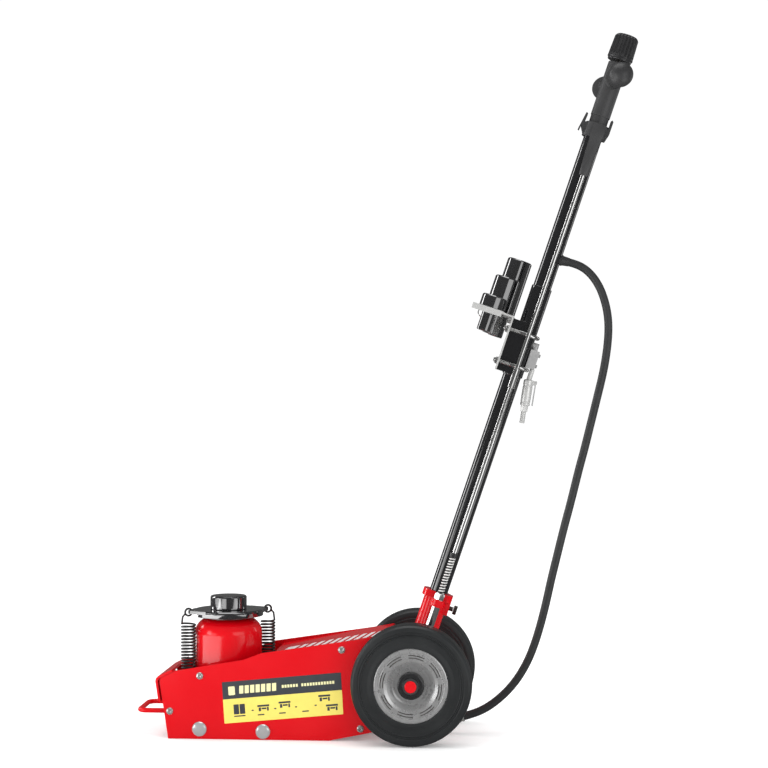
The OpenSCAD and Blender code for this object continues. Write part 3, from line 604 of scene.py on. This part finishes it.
tank_lo, tank_hi = box_mm("oil_tank")
TANK_R, TANK_LOW, TANK_TOP = tank_hi.x, tank_lo.z, tank_hi.z
TANK_WALL, SHOULDER, SHOULDER_ARC, MOUTH_R = 4, 28, 71, 40.1
tank_profile = rounded([(TANK_R - TANK_WALL, TANK_TOP - SHOULDER), (TANK_R - TANK_WALL, TANK_LOW),
                        (TANK_R, TANK_LOW, 0.8), (TANK_R, TANK_TOP - SHOULDER)], 0.5)
for i in range(1, 19):
    a = math.radians(SHOULDER_ARC * i / 18)
    tank_profile.append((TANK_R - SHOULDER * (1 - math.cos(a)), TANK_TOP - SHOULDER * (1 - math.sin(a))))
tank_profile += [(MOUTH_R, tank_profile[-1][1] - 0.6), (MOUTH_R, TANK_TOP - 8)]
tank = Shape().lathe(tank_profile, n=160, closed=True)
stand_for(tank, "oil_tank", RED)

plug_lo, plug_hi = box_mm("filler_plug")
plug = Shape()
at_plug = along(Y, (0, plug_lo.y, (plug_lo.z + plug_hi.z) / 2))
plug.lathe([(0, 0), (6, 0), (6, 6)], at_plug, n=40)
plug.lathe(rounded([(0, 5.4), (7.8, 5.4), (8, 6.4), (8, 8.2), (7, 9), (0, 9)], 0.3), at_plug, n=40)
stand_for(plug, "filler_plug", SATIN)

motor_lo, motor_hi = box_mm("air_motor")
motor = Shape()
at_motor = along(X, (motor_lo.x, 0, (motor_lo.z + motor_hi.z) / 2))
motor.lathe(rounded([(0, 0), (30, 0), (30, 8), (28.6, 9), (28.6, 74), (30, 75), (30, 86), (26, 87), (26, 111),
                     (22, 112), (0, 112)], 0.8), at_motor, n=96)
for k in range(4):
    turn = Matrix.Rotation(math.pi / 4 + k * math.pi / 2, 4, "Z")
    motor.lathe(rounded([(0, 85), (2.6, 85), (2.6, 89.5), (0, 89.5)], 0.5),
                at_motor @ turn @ Matrix.Translation((27, 0, 0)), n=24)
stand_for(motor, "air_motor", ALLOY)

axle = Shape().lathe(rounded([(0, axle_lo.y), (10, axle_lo.y, 1), (10, axle_hi.y, 1), (0, axle_hi.y)], 1),
                     along(Y, (AXLE.x, 0, AXLE.z)), n=64)
stand_for(axle, "axle", RED)

# Label on the near side plate: plain bars and blocks, no lettering. Its corners are in X and Z, from the
# upper front one clockwise.

LABEL = [Vector((1.4, 97.5)), Vector((206.8, 116.8)), Vector((210.8, 45.7)), Vector((6.2, 26.8))]


def on_label(s, t):
    """Place in X and Z of a point at s across and t down the label, both from 0 to 1."""
    return LABEL[0].lerp(LABEL[1], s).lerp(LABEL[3].lerp(LABEL[2], s), t)


UPRIGHT = Matrix(((1, 0, 0, 0), (0, 0, -1, 0), (0, 1, 0, 0), (0, 0, 0, 1)))
SHEET, MARK = 0.18, 0.08   # thickness of the label, and of the marks on it


def decal(name, mat, outlines, y, thick):
    """Thin plates that stand on the near side of the plane at y, from outlines in X and Z."""
    shape = Shape()
    for outline in outlines:
        shape.prism(outline, 0, thick, Matrix.Translation((0, -y, 0)) @ UPRIGHT)
    shape.make(name, mat, "chassis", sharp=30)


def patch(s0, t0, s1, t1, radius=0.6, lean=0.0):
    """A rounded four-sided patch of the label. lean moves its upper edge along the label."""
    corners = [on_label(s0 + lean, t0), on_label(s1 + lean, t0), on_label(s1, t1), on_label(s0, t1)]
    return rounded([tuple(p) for p in corners], radius, 4, closed=True)


BAND = 0.42   # where the dark upper band ends, down the label
decal("label_upper", LABEL_DARK, [patch(0, 0, 1, BAND, 1.2)], PLATE_Y, SHEET)
decal("label_lower", LABEL_YELLOW, [patch(0, BAND, 1, 1, 1.2)], PLATE_Y, SHEET)
# A square, seven bars and a row of small blocks with one gap
light_marks = [patch(0.05, 0.12, 0.105, 0.33, 1.6)]
for k in range(7):
    light_marks.append(patch(0.14 + 0.046 * k, 0.12, 0.175 + 0.046 * k, 0.31, 0.5, 0.004))
for k in range(19):
    if k != 6:
        light_marks.append(patch(0.50 + 0.0235 * k, 0.185, 0.517 + 0.0235 * k, 0.255, 0.3))
decal("label_light_marks", LABEL_LIGHT, light_marks, PLATE_Y + SHEET, MARK)
# Two tall blocks over a bar, four groups of blocks, and two rows of short bars
dark_marks = [patch(0.085, 0.56, 0.130, 0.80, 0.8), patch(0.136, 0.56, 0.181, 0.80, 0.8),
              patch(0.085, 0.83, 0.181, 0.86, 0.3)]
for s0, t0 in ((0.285, 0.62), (0.465, 0.58), (0.80, 0.50), (0.86, 0.74)):
    dark_marks += [patch(s0, t0, s0 + 0.10, t0 + 0.045, 0.4),
                   patch(s0 + 0.01, t0 + 0.06, s0 + 0.03, t0 + 0.15, 0.4),
                   patch(s0 + 0.035, t0 + 0.07, s0 + 0.075, t0 + 0.11, 0.4),
                   patch(s0 + 0.08, t0 + 0.06, s0 + 0.095, t0 + 0.15, 0.4)]
for s0 in (0.285, 0.465, 0.66):
    dark_marks.append(patch(s0, 0.84, s0 + 0.055, 0.87, 0.3))
for s0 in (0.235, 0.425, 0.60, 0.765):
    dark_marks.append(patch(s0, 0.72, s0 + 0.018, 0.75, 0.3))
decal("label_dark_marks", LABEL_DARK, dark_marks, PLATE_Y + SHEET, MARK)

# Slanted stripes painted across the rear cover

cover_hi = box_mm("top_cover")[1]
SLOPE = math.radians(10.6)
at_cover = Matrix.Translation((cover_hi.x, 0, cover_hi.z)) @ Matrix.Rotation(-SLOPE, 4, "Y")
stripes = Shape()
for k in range(12):
    x, wide_by = -182 + 15 * k, 8
    if k == 0:
        x, wide_by = -194, 20
    elif k >= 10:
        wide_by = 12
    outline = [(x, -66), (x + wide_by, -66), (x + wide_by + 12, -8), (x + 12, -8)]
    stripes.prism(rounded(outline, 1.0, 3, closed=True), 0.02, 0.14, at_cover)
stripes.make("cover_stripes", STRIPE, "chassis", sharp=30)

# ---------------------------------------------------------------- springs, spring plate and saddle

plate_lo, plate_hi = box_mm("spring_plate")
saddle_lo, saddle_hi = box_mm("saddle")
SPRING_D, SPRING_TURN = 72.8, math.radians(26)
PLATE_R, PLATE_TOP, PLATE_LOW = 61, plate_hi.z, plate_lo.z
BORE_R, BORE_ROOF = 22, PLATE_TOP - 0.5
EAR_D, EAR_R, EAR_T, EAR_HOLE, EAR_N = 65, 8, 6, 3.4, 64
COIL_R, WIRE_R, COIL_LOW, COIL_HIGH, COIL_TURNS = 11.8, 1.7, 71, 192, 22
HOOK_R, EYE_R, POST_TOP, POST_LOW = 3.4, 6.2, 62, 54


def holed(shape, outline, hole, z0, z1, m):
    """A plate with an outline and a hole of as many points, both starting at the same bearing."""
    n = len(outline)
    verts = [(x, y, z) for z in (z0, z1) for ring in (outline, hole) for x, y in ring]
    faces = []
    for i in range(n):
        j = (i + 1) % n
        faces += [[i, j, n + j, n + i], [2 * n + i, 3 * n + i, 3 * n + j, 2 * n + j],
                  [i, 2 * n + i, 2 * n + j, j], [n + i, n + j, 3 * n + j, 3 * n + i]]
    return shape.add(verts, faces, m)


plate = Shape()
plate.lathe(rounded([
    (BORE_R, PLATE_LOW + 4), (PLATE_R - 4, PLATE_LOW + 4), (PLATE_R - 4, PLATE_LOW, 0.5),
    (PLATE_R, PLATE_LOW, 0.8), (PLATE_R, PLATE_TOP - 2, 1), (PLATE_R - 2.5, PLATE_TOP, 1),
    (14, PLATE_TOP), (14, BORE_ROOF), (BORE_R, BORE_ROOF)], 0.5, 4, closed=True), n=144, closed=True)
# An ear is round outside. Its two flanks touch the disc, and a chord between those points closes it.
side_at = math.acos((PLATE_R - EAR_R) / EAR_D)
FLANK = Vector((math.cos(side_at), math.sin(side_at)))
CHORD = EAR_D - PLATE_R * FLANK.x
for turn in (0, math.pi):
    m = Matrix.Rotation(SPRING_TURN + turn, 4, "Z")
    ear, hole = [], []
    for i in range(EAR_N):
        c, s = math.cos(2 * math.pi * i / EAR_N), math.sin(2 * math.pi * i / EAR_N)
        reach = EAR_R
        if c < FLANK.x:
            flank = EAR_R / max(1e-4, FLANK.x * c + FLANK.y * abs(s))
            reach = min(flank, CHORD / max(1e-4, -c))
        ear.append((EAR_D + reach * c, reach * s))
        hole.append((EAR_D + EAR_HOLE * c, EAR_HOLE * s))
    holed(plate, ear, hole, PLATE_TOP - EAR_T, PLATE_TOP - 0.05, m)
stand_for(plate, "spring_plate", LACQUER, bevel=0.4)

saddle = Shape().lathe(rounded([
    (0, saddle_lo.z), (12.2, saddle_lo.z, 0.5), (13, saddle_lo.z + 1), (13, PLATE_TOP), (31, PLATE_TOP),
    (32, PLATE_TOP + 1.2), (32, saddle_hi.z - 3.4, 1.6), (30.4, saddle_hi.z - 0.9, 1.2),
    (28.6, saddle_hi.z - 1.1), (22, saddle_hi.z - 0.3, 6), (0, saddle_hi.z)], 0.6, 4), n=144)
stand_for(saddle, "saddle", LACQUER)


def return_spring(name, node, turn):
    """A coil with a hook round its post below and a double eye through its ear above."""
    m = Matrix.Rotation(SPRING_TURN + turn, 4, "Z") @ Matrix.Translation((SPRING_D, 0, 0))
    lower = [Vector((HOOK_R * math.cos(a), 0, POST_LOW + HOOK_R * math.sin(a)))
             for a in (math.radians(d) for d in range(-240, 91, 15))]
    lower += [Vector((0.2, 0, POST_TOP)), Vector((2, 0, COIL_LOW - 5)), Vector((8, 0, COIL_LOW - 2.4))]
    coil = helix(COIL_R, COIL_LOW, COIL_HIGH, COIL_TURNS, 30)
    stem = [Vector((COIL_R, 0.4, COIL_HIGH + 3)), Vector((COIL_R - 1.2, 0.4, COIL_HIGH + 12))]
    eye = []
    for d in range(-20, 601, 12):
        a = math.radians(d)
        eye.append(Vector((EYE_R * math.cos(a), 1.6 - d / 190, PLATE_TOP - 3 + EYE_R * math.sin(a))))
    shape = Shape().sweep(lower + coil + stem + eye, WIRE_R, m, n=10)
    shape.make(name, SPRING, "chassis", stands_for=[node], slot=slot_of(node), sharp=60,
               blend=("chassis", "ram", (0, 0, COIL_LOW * MM), (0, 0, (COIL_HIGH + 2) * MM)))


return_spring("spring_front_coil", "spring_front", math.pi)
return_spring("spring_rear_coil", "spring_rear", 0)

# ---------------------------------------------------------------- wheels

TYRE_R, RIM_R, HUB_R = AXLE.z, 63, 22.5
WHEEL_IN = box_mm("tyre_far")[0].y

tyre_profile = rounded([
    (62.5, 5), (64, 3.2), (68, 1.4, 3), (76, 0.9, 3), (84, 1.1), (85.6, 0.3, 0.8), (87.2, 0.3, 0.8),
    (88, 1.2), (92, 0.4, 2), (97.5, 1.2, 4), (101.6, 5.4, 5), (TYRE_R, 13, 8), (TYRE_R, 25), (TYRE_R, 37, 8),
    (101.6, 44.6, 5), (97.5, 48.8, 4), (90.8, 49.6, 1.6), (89.8, 48.5, 0.6), (88.2, 48.5, 0.5),
    (87.6, 49.3, 0.5), (86.6, 49.3, 0.5), (86.0, 48.2, 0.5), (85.4, 48.2, 0.5), (84.9, 48.9, 0.4),
    (84.1, 48.9, 0.4), (83.4, 47.8, 1), (74, 47.5, 6), (67.2, 49.0, 3), (63.8, 48.6, 1.4), (62.5, 46),
    (62.5, 43), (62.5, 8)], 1, 4, closed=True)
rim_profile = rounded([
    (HUB_R - 0.5, 22), (30, 20), (42, 20), (50, 26), (56, 26), (59, 8), (RIM_R, 6), (RIM_R, 46.5, 1),
    (60.8, 47.3, 1), (56.4, 46.9, 1), (55.4, 45.2, 0.6), (54.2, 45.2, 0.6), (53.4, 46.2, 0.8), (46, 46.0, 2),
    (41, 43.6, 5), (33, 37.5, 9), (27, 35.2, 6), (HUB_R - 0.5, 34.8)], 1.2, 6, closed=True)
hub_profile = rounded([
    (10.1, -2.4), (21, -2.5, 1), (HUB_R, -1, 1), (HUB_R, 49.4, 1.4), (19.6, 50.6, 1.4), (18.8, 49.4, 0.6),
    (15, 49.4, 0.6), (14.2, 51, 0.6), (10.8, 51, 0.5), (10.1, 50)], 0.6, 4, closed=True)
MARK_FROM, MARK_TO = math.radians(7), math.radians(38)
for side, tag in ((-1, "near"), (1, "far")):
    m = along((0, side, 0), (AXLE.x, side * WHEEL_IN, AXLE.z))
    tyre = Shape().lathe(tyre_profile, m, n=192, closed=True)
    stand_for(tyre, "tyre_" + tag, TYRE)
    rim = Shape().lathe(rim_profile, m, n=192, closed=True)
    marks = Shape()
    for k in range(8):
        turn = m @ Matrix.Rotation(k * math.pi / 4 + 0.2, 4, "Z")
        rim.prism(rounded([(46.2, -1.3), (53.6, -1.3), (53.6, 1.3), (46.2, 1.3)], 0.8, 4, closed=True),
                  45.6, 47.2, turn)
        for r0, r1 in ((50.9, 52.3), (46.6, 48.0)):
            steps = [MARK_FROM + (MARK_TO - MARK_FROM) * i / 12 for i in range(13)]
            arc = [(r1 * math.cos(a), r1 * math.sin(a)) for a in steps]
            arc += [(r0 * math.cos(a), r0 * math.sin(a)) for a in reversed(steps)]
            marks.prism(arc, 45.6, 46.55, turn)
    stand_for(rim, "rim_" + tag, WHEEL)
    marks.make("rim_marks_" + tag, DARK, body_with("rim_" + tag), slot="dark_steel", bevel=0.2)
    hub = Shape().lathe(hub_profile, m, n=96, closed=True)
    stand_for(hub, "hub_" + tag, SATIN)

# ---------------------------------------------------------------- handle tubes and clamp

TUBE_R, TUBE_FOOT, TUBE_JOIN, TUBE_TOP = 16, 62, 630, 1122
BORE, SLEEVE_R, SLEEVE_FOOT, SLEEVE_TOP = 13.5, 18, 549, 711
for node, z0, z1 in (("tube_lower", TUBE_FOOT, TUBE_JOIN), ("tube_upper", TUBE_JOIN, TUBE_TOP)):
    wall = rounded([(BORE, z0), (TUBE_R, z0), (TUBE_R, z1), (BORE, z1)], 0.5, closed=True)
    stand_for(Shape().lathe(wall, n=112, closed=True), node, BLACK, HANDLE)
wall = rounded([(TUBE_R, SLEEVE_FOOT), (SLEEVE_R, SLEEVE_FOOT), (SLEEVE_R, SLEEVE_TOP), (TUBE_R, SLEEVE_TOP)],
               0.8, closed=True)
stand_for(Shape().lathe(wall, n=112, closed=True), "joint_sleeve", BLACK, HANDLE)


def threaded(r, z0, z1, pitch=1.0, depth=0.28, tip=0.8):
    """Profile of a threaded shank with a chamfered tip at z1, for a lathe."""
    out, z = [(r, z0)], z0
    while z + pitch < z1 - tip:
        out += [(r, z + 0.15 * pitch), (r - depth, z + 0.5 * pitch), (r, z + 0.85 * pitch)]
        z += pitch
    return out + [(r, z1 - tip), (r - tip, z1), (0, z1)]


LEG, BOLT_R, BOLTS_AT = 21.6, 3.5, (566, 624)
u_bolts = Shape()
for w in BOLTS_AT:
    arch = [(-10, -LEG, w)]
    arch += [(LEG * math.sin(a), -LEG * math.cos(a), w) for a in (math.pi * i / 24 for i in range(25))]
    u_bolts.sweep(arch + [(-10, LEG, w)], BOLT_R, n=24)
    for v in (-LEG, LEG):
        m = along((-1, 0, 0), (0, v, w))
        u_bolts.lathe([(0, 8), (BOLT_R, 8)] + threaded(BOLT_R, 9, 40), m, n=24)
        nut(u_bolts, 6.4, 4.3, 3, m @ Matrix.Translation((0, 0, 32.7)))
        washer = rounded([(3, 32), (6.9, 32), (6.9, 32.8), (3, 32.8)], 0.2, closed=True)
        u_bolts.lathe(washer, m, n=32, closed=True)
stand_for(u_bolts, "u_bolts", NICKEL, HANDLE)

RACK = HANDLE @ Matrix.Rotation(math.radians(-12), 4, "Z") @ Matrix.Translation((-63, 0, 647))
RING_R, RING_PITCH = 7, 0.12
ring_path = [(RING_R * math.cos(a), RING_R * math.sin(a), RING_PITCH * a)
             for a in (i * math.pi / 14 for i in range(31))]
ring_at = (Matrix.Translation((-16, -34, -11)) @ Matrix.Rotation(math.radians(20), 4, "Z")
           @ Matrix.Rotation(math.pi / 2, 4, "X"))
stand_for(Shape().sweep(ring_path, 0.95, ring_at, n=10), "rack_ring", NICKEL, RACK)

ADAPTERS = (("adapter_short", 22), ("adapter_middle", 62), ("adapter_tall", 101))
ADAPTER_STEP = 46
for index, (node, high) in enumerate(ADAPTERS):
    adapter = Shape().lathe(rounded([
        (0, -41), (12, -41, 0.3), (13, -40, 0.3), (13, 0, 0.3), (20.8, 0, 0.4), (22, 1.1, 0.5),
        (22, high - 2, 0.7), (20, high, 0.7), (0, high)], 0.6, 4),
        Matrix.Translation((0, (index - 1) * ADAPTER_STEP, 0)), n=112)
    stand_for(adapter, node, LACQUER, RACK)

# ---------------------------------------------------------------- lock rod, its spring and the finger collar

LOCK = HANDLE @ Matrix.Translation((4.5, -32, 0))
SPRING_TOP, SPRING_FOOT, SPRING_R, SPRING_WIRE, SPRING_TURNS = 218, 152.5, 4.2, 1.1, 13
PIN_TOP, ROD_TOP, COLLAR_LOW, COLLAR_HIGH = 141, 1000, 527.5, 562
rods = Shape()
rods.lathe(rounded([(0, 40.4), (3.9, 40.4), (4.5, 41.2), (4.5, 48.8), (7.5, 51, 0.8), (7.5, PIN_TOP),
                    (0, PIN_TOP)], 0.3), n=56)
rods.lathe(rounded([(0, 150), (2.6, 150), (2.6, SPRING_TOP + 2), (4, SPRING_TOP + 3), (4, ROD_TOP),
                    (0, ROD_TOP)], 0.2), n=48)
rods.lathe(rounded([(3.5, COLLAR_LOW), (6.2, COLLAR_LOW), (6.2, COLLAR_HIGH), (3.5, COLLAR_HIGH)], 0.7,
                   closed=True), n=48, closed=True)
nut(rods, 9.6, 11.5, 3.6, Matrix.Translation((0, 0, PIN_TOP)))
stand_for(rods, "lock_rods", NICKEL, LOCK)

# A dark sleeve over the rod inside the lock spring: painted shade, so that the rod reads dark between the
# coils
wall = rounded([(2.4, SPRING_FOOT - 0.2), (3, SPRING_FOOT + 0.3), (3, SPRING_TOP + 1),
                (2.4, SPRING_TOP + 1.2)], 0.1, closed=True)
spring_shade_sleeve = Shape().lathe(wall, n=40, closed=True)
spring_shade_sleeve.make("lock_spring_shade_sleeve", SATIN, "lock", LOCK, slot=slot_of("rod_guide"))
coil = helix(SPRING_R, SPRING_FOOT + 1, SPRING_TOP - 1, SPRING_TURNS, 28)
lock_coil = Shape().sweep(coil, SPRING_WIRE, n=12)
spring_ends = [LOCK @ Vector((0, 0, z)) for z in (SPRING_TOP, SPRING_FOOT)]
lock_coil.make("lock_spring_coil", BRIGHT, "handle", LOCK, ["lock_spring"], slot_of("lock_spring"), sharp=60,
               blend=("handle", "lock", *spring_ends))

# ---------------------------------------------------------------- turning pieces

CLAMP_W = 129
CLAMP = along((1, 0, 0), (TUBE_R + 0.3, 0, CLAMP_W), HANDLE)


def knurled(count, depth, low):
    """Bends a lathe outside the radius low into count ridges."""
    def bend(r, z, a):
        return r - depth * (0.5 + 0.5 * math.cos(count * a)) if r > low else r
    return bend


clamp = Shape().lathe([(0, 0), (4, 0.3), (4, 17.5), (0, 17.5)], n=32)
clamp.lathe(rounded([(0, 18), (7.4, 18), (8, 18.8), (8, 23.7), (7.4, 24.5), (0, 24.5)], 0.3), n=144,
            bend=knurled(24, 0.55, 7.6))
clamp.lathe(rounded([(0, 24.4), (4.4, 24.4), (4.2, 24.5), (0, 24.5)], 0.1), n=32)
stand_for(clamp, "clamp_screw", DARK, CLAMP, sharp=50)

FLUTES, FLUTE_LOW = 20, KNOB_W + 6.5


def fluted(r, z, a):
    """Knob outline: flutes above the skirt that fade out towards the top face."""
    if z < FLUTE_LOW or r < 17.8:
        return r
    k = 0.5 + 0.5 * math.cos(FLUTES * a)
    fade = min(1, (z - FLUTE_LOW) / 2.5)
    return r - 2.1 * fade * k**1.6


knob_profile = rounded([
    (0, KNOB_W), (20.4, KNOB_W), (21, KNOB_W + 1), (21, 1129.4), (22.5, 1130.6), (22.5, 1132.8),
    (22.3, 1133.6), (22.4, 1137), (22.1, 1144), (21.6, 1156), (21.1, 1167.6, 2.6), (18, 1171.8, 2),
    (12, 1172), (11, 1171.2), (0, 1171.2)], 0.7, 4)
knob = Shape().lathe(knob_profile, n=FLUTES * 14, bend=fluted)
stand_for(knob, "release_knob", SATIN, HANDLE, sharp=50)

# ---------------------------------------------------------------- tee bar and grips

TEE_W, TEE_TURN, TEE_R, GRIP_R = 1089, math.radians(7), 11, 21
TEE = HANDLE @ Matrix.Translation((0, 0, TEE_W)) @ Matrix.Rotation(TEE_TURN, 4, "Z")
tee = Shape()
tee.lathe(rounded([(TUBE_R, -65), (17.2, -65), (17.2, 32), (TUBE_R, 32)], 0.8, 4, closed=True), n=96,
          closed=True)
for side in (-1, 1):
    m = along((0, side, 0), (0, 0, 0))
    tee.lathe(rounded([(0, 17), (TEE_R, 17), (TEE_R, 97), (0, 97)], 0.8), m, n=64)
    tee.lathe(rounded([(10.8, 17.4), (13.4, 17.4), (TEE_R, 20.4), (10.8, 20.4)], 0.8, closed=True), m, n=64,
              closed=True)
stand_for(tee, "tee_bar", MATT, TEE)
# Thin dark sleeve on the tube, under the boss of the tee bar
NECK_LOW, NECK_HIGH = 1009, 1024
neck = Shape().lathe([(15.9, NECK_LOW), (16.15, NECK_LOW), (16.15, NECK_HIGH), (15.9, NECK_HIGH)], n=96,
                     closed=True)
neck.make("neck_sleeve", MATT, "handle", HANDLE, slot=slot_of("tee_bar"))

grip_profile = [(TEE_R, 21.6), (TEE_R, 21), (15.2, 21), (16.2, 21.8), (16.5, 23.4), (15.9, 24.6)]
for k in range(4):
    s = 26.4 + 3.4 * k
    grip_profile += [(16.1, s), (15.3, s + 0.7), (15.3, s + 1.5), (16.2, s + 2.2)]
grip_profile += [(17, 41), (18, 50), (19, 60), (20, 70), (20.9, 79)]
grip_profile += [(GRIP_R * math.cos(a), 85 + GRIP_R * math.sin(a))
                 for a in (math.pi / 2 * i / 20 for i in range(20))]
grip_profile.append((0, 106))
grips = Shape()
for side in (-1, 1):
    grips.lathe(rounded(grip_profile, 0.5, 2), along((0, side, 0), (0, 0, 0)), n=96)
stand_for(grips, "tee_grips", RUBBER, TEE)

# ---------------------------------------------------------------- air valve

VALVE_LEAN, SCREWS_AT = 9.6, (577, 596)
VALVE_AT = HANDLE @ Matrix.Translation((30, 0, 551))
VALVE = VALVE_AT @ Matrix.Rotation(math.radians(180 - VALVE_LEAN), 4, "Y")
valve = Shape()
up_again = VALVE.inverted() @ VALVE_AT   # the valve hangs down, its stub points up
valve.lathe([(0, -3), (4.4, -3), (4.4, 19.4), (0, 19.4)], up_again, n=40)
valve.lathe(rounded([
    (0, -0.6), (6.6, -0.6), (8.5, 1), (8.5, 9), (7.9, 9.8), (7.9, 11), (8.5, 11.8), (8.5, 38), (7.9, 38.8),
    (7.9, 40), (8.5, 40.8), (8.5, 44), (7.6, 45), (0, 45)], 0.5, 4), n=72)
nut(valve, 7.3, 10.6, 3, Matrix.Translation((0, 0, 45)))
valve.lathe([(3.4, 55.6)] + threaded(4.5, 56, 76, 1.5, 0.5)[:-1] + [(2.3, 76), (2.3, 57), (3.4, 56)], n=48,
            closed=True)
for v0, v1 in ((-7, -4), (4, 7)):
    cheek = rounded([(-15.2, 0), (-3, 0), (-3, 8), (-15.2, 8, 3.9)], 1.2, 4, closed=True)
    valve.prism(cheek, v0, v1, Matrix.Rotation(math.pi / 2, 4, "X"))
stand_for(valve, "air_valve", PALE, VALVE, bevel=0.15)
refine("valve_lever", ALLOY, 0.5)

block_screws = Shape()
for w in SCREWS_AT:
    m = along((1, 0, 0), (33, 0, w))
    block_screws.lathe(rounded([(0, 0.2), (3, 0.2), (3, 2.2), (2.4, 3), (1.7, 3), (1.6, 1.2), (0, 1.1)], 0.2),
                       m, n=36)
block_screws.make("air_block_screws", DARK, "handle", HANDLE, slot="dark_steel")
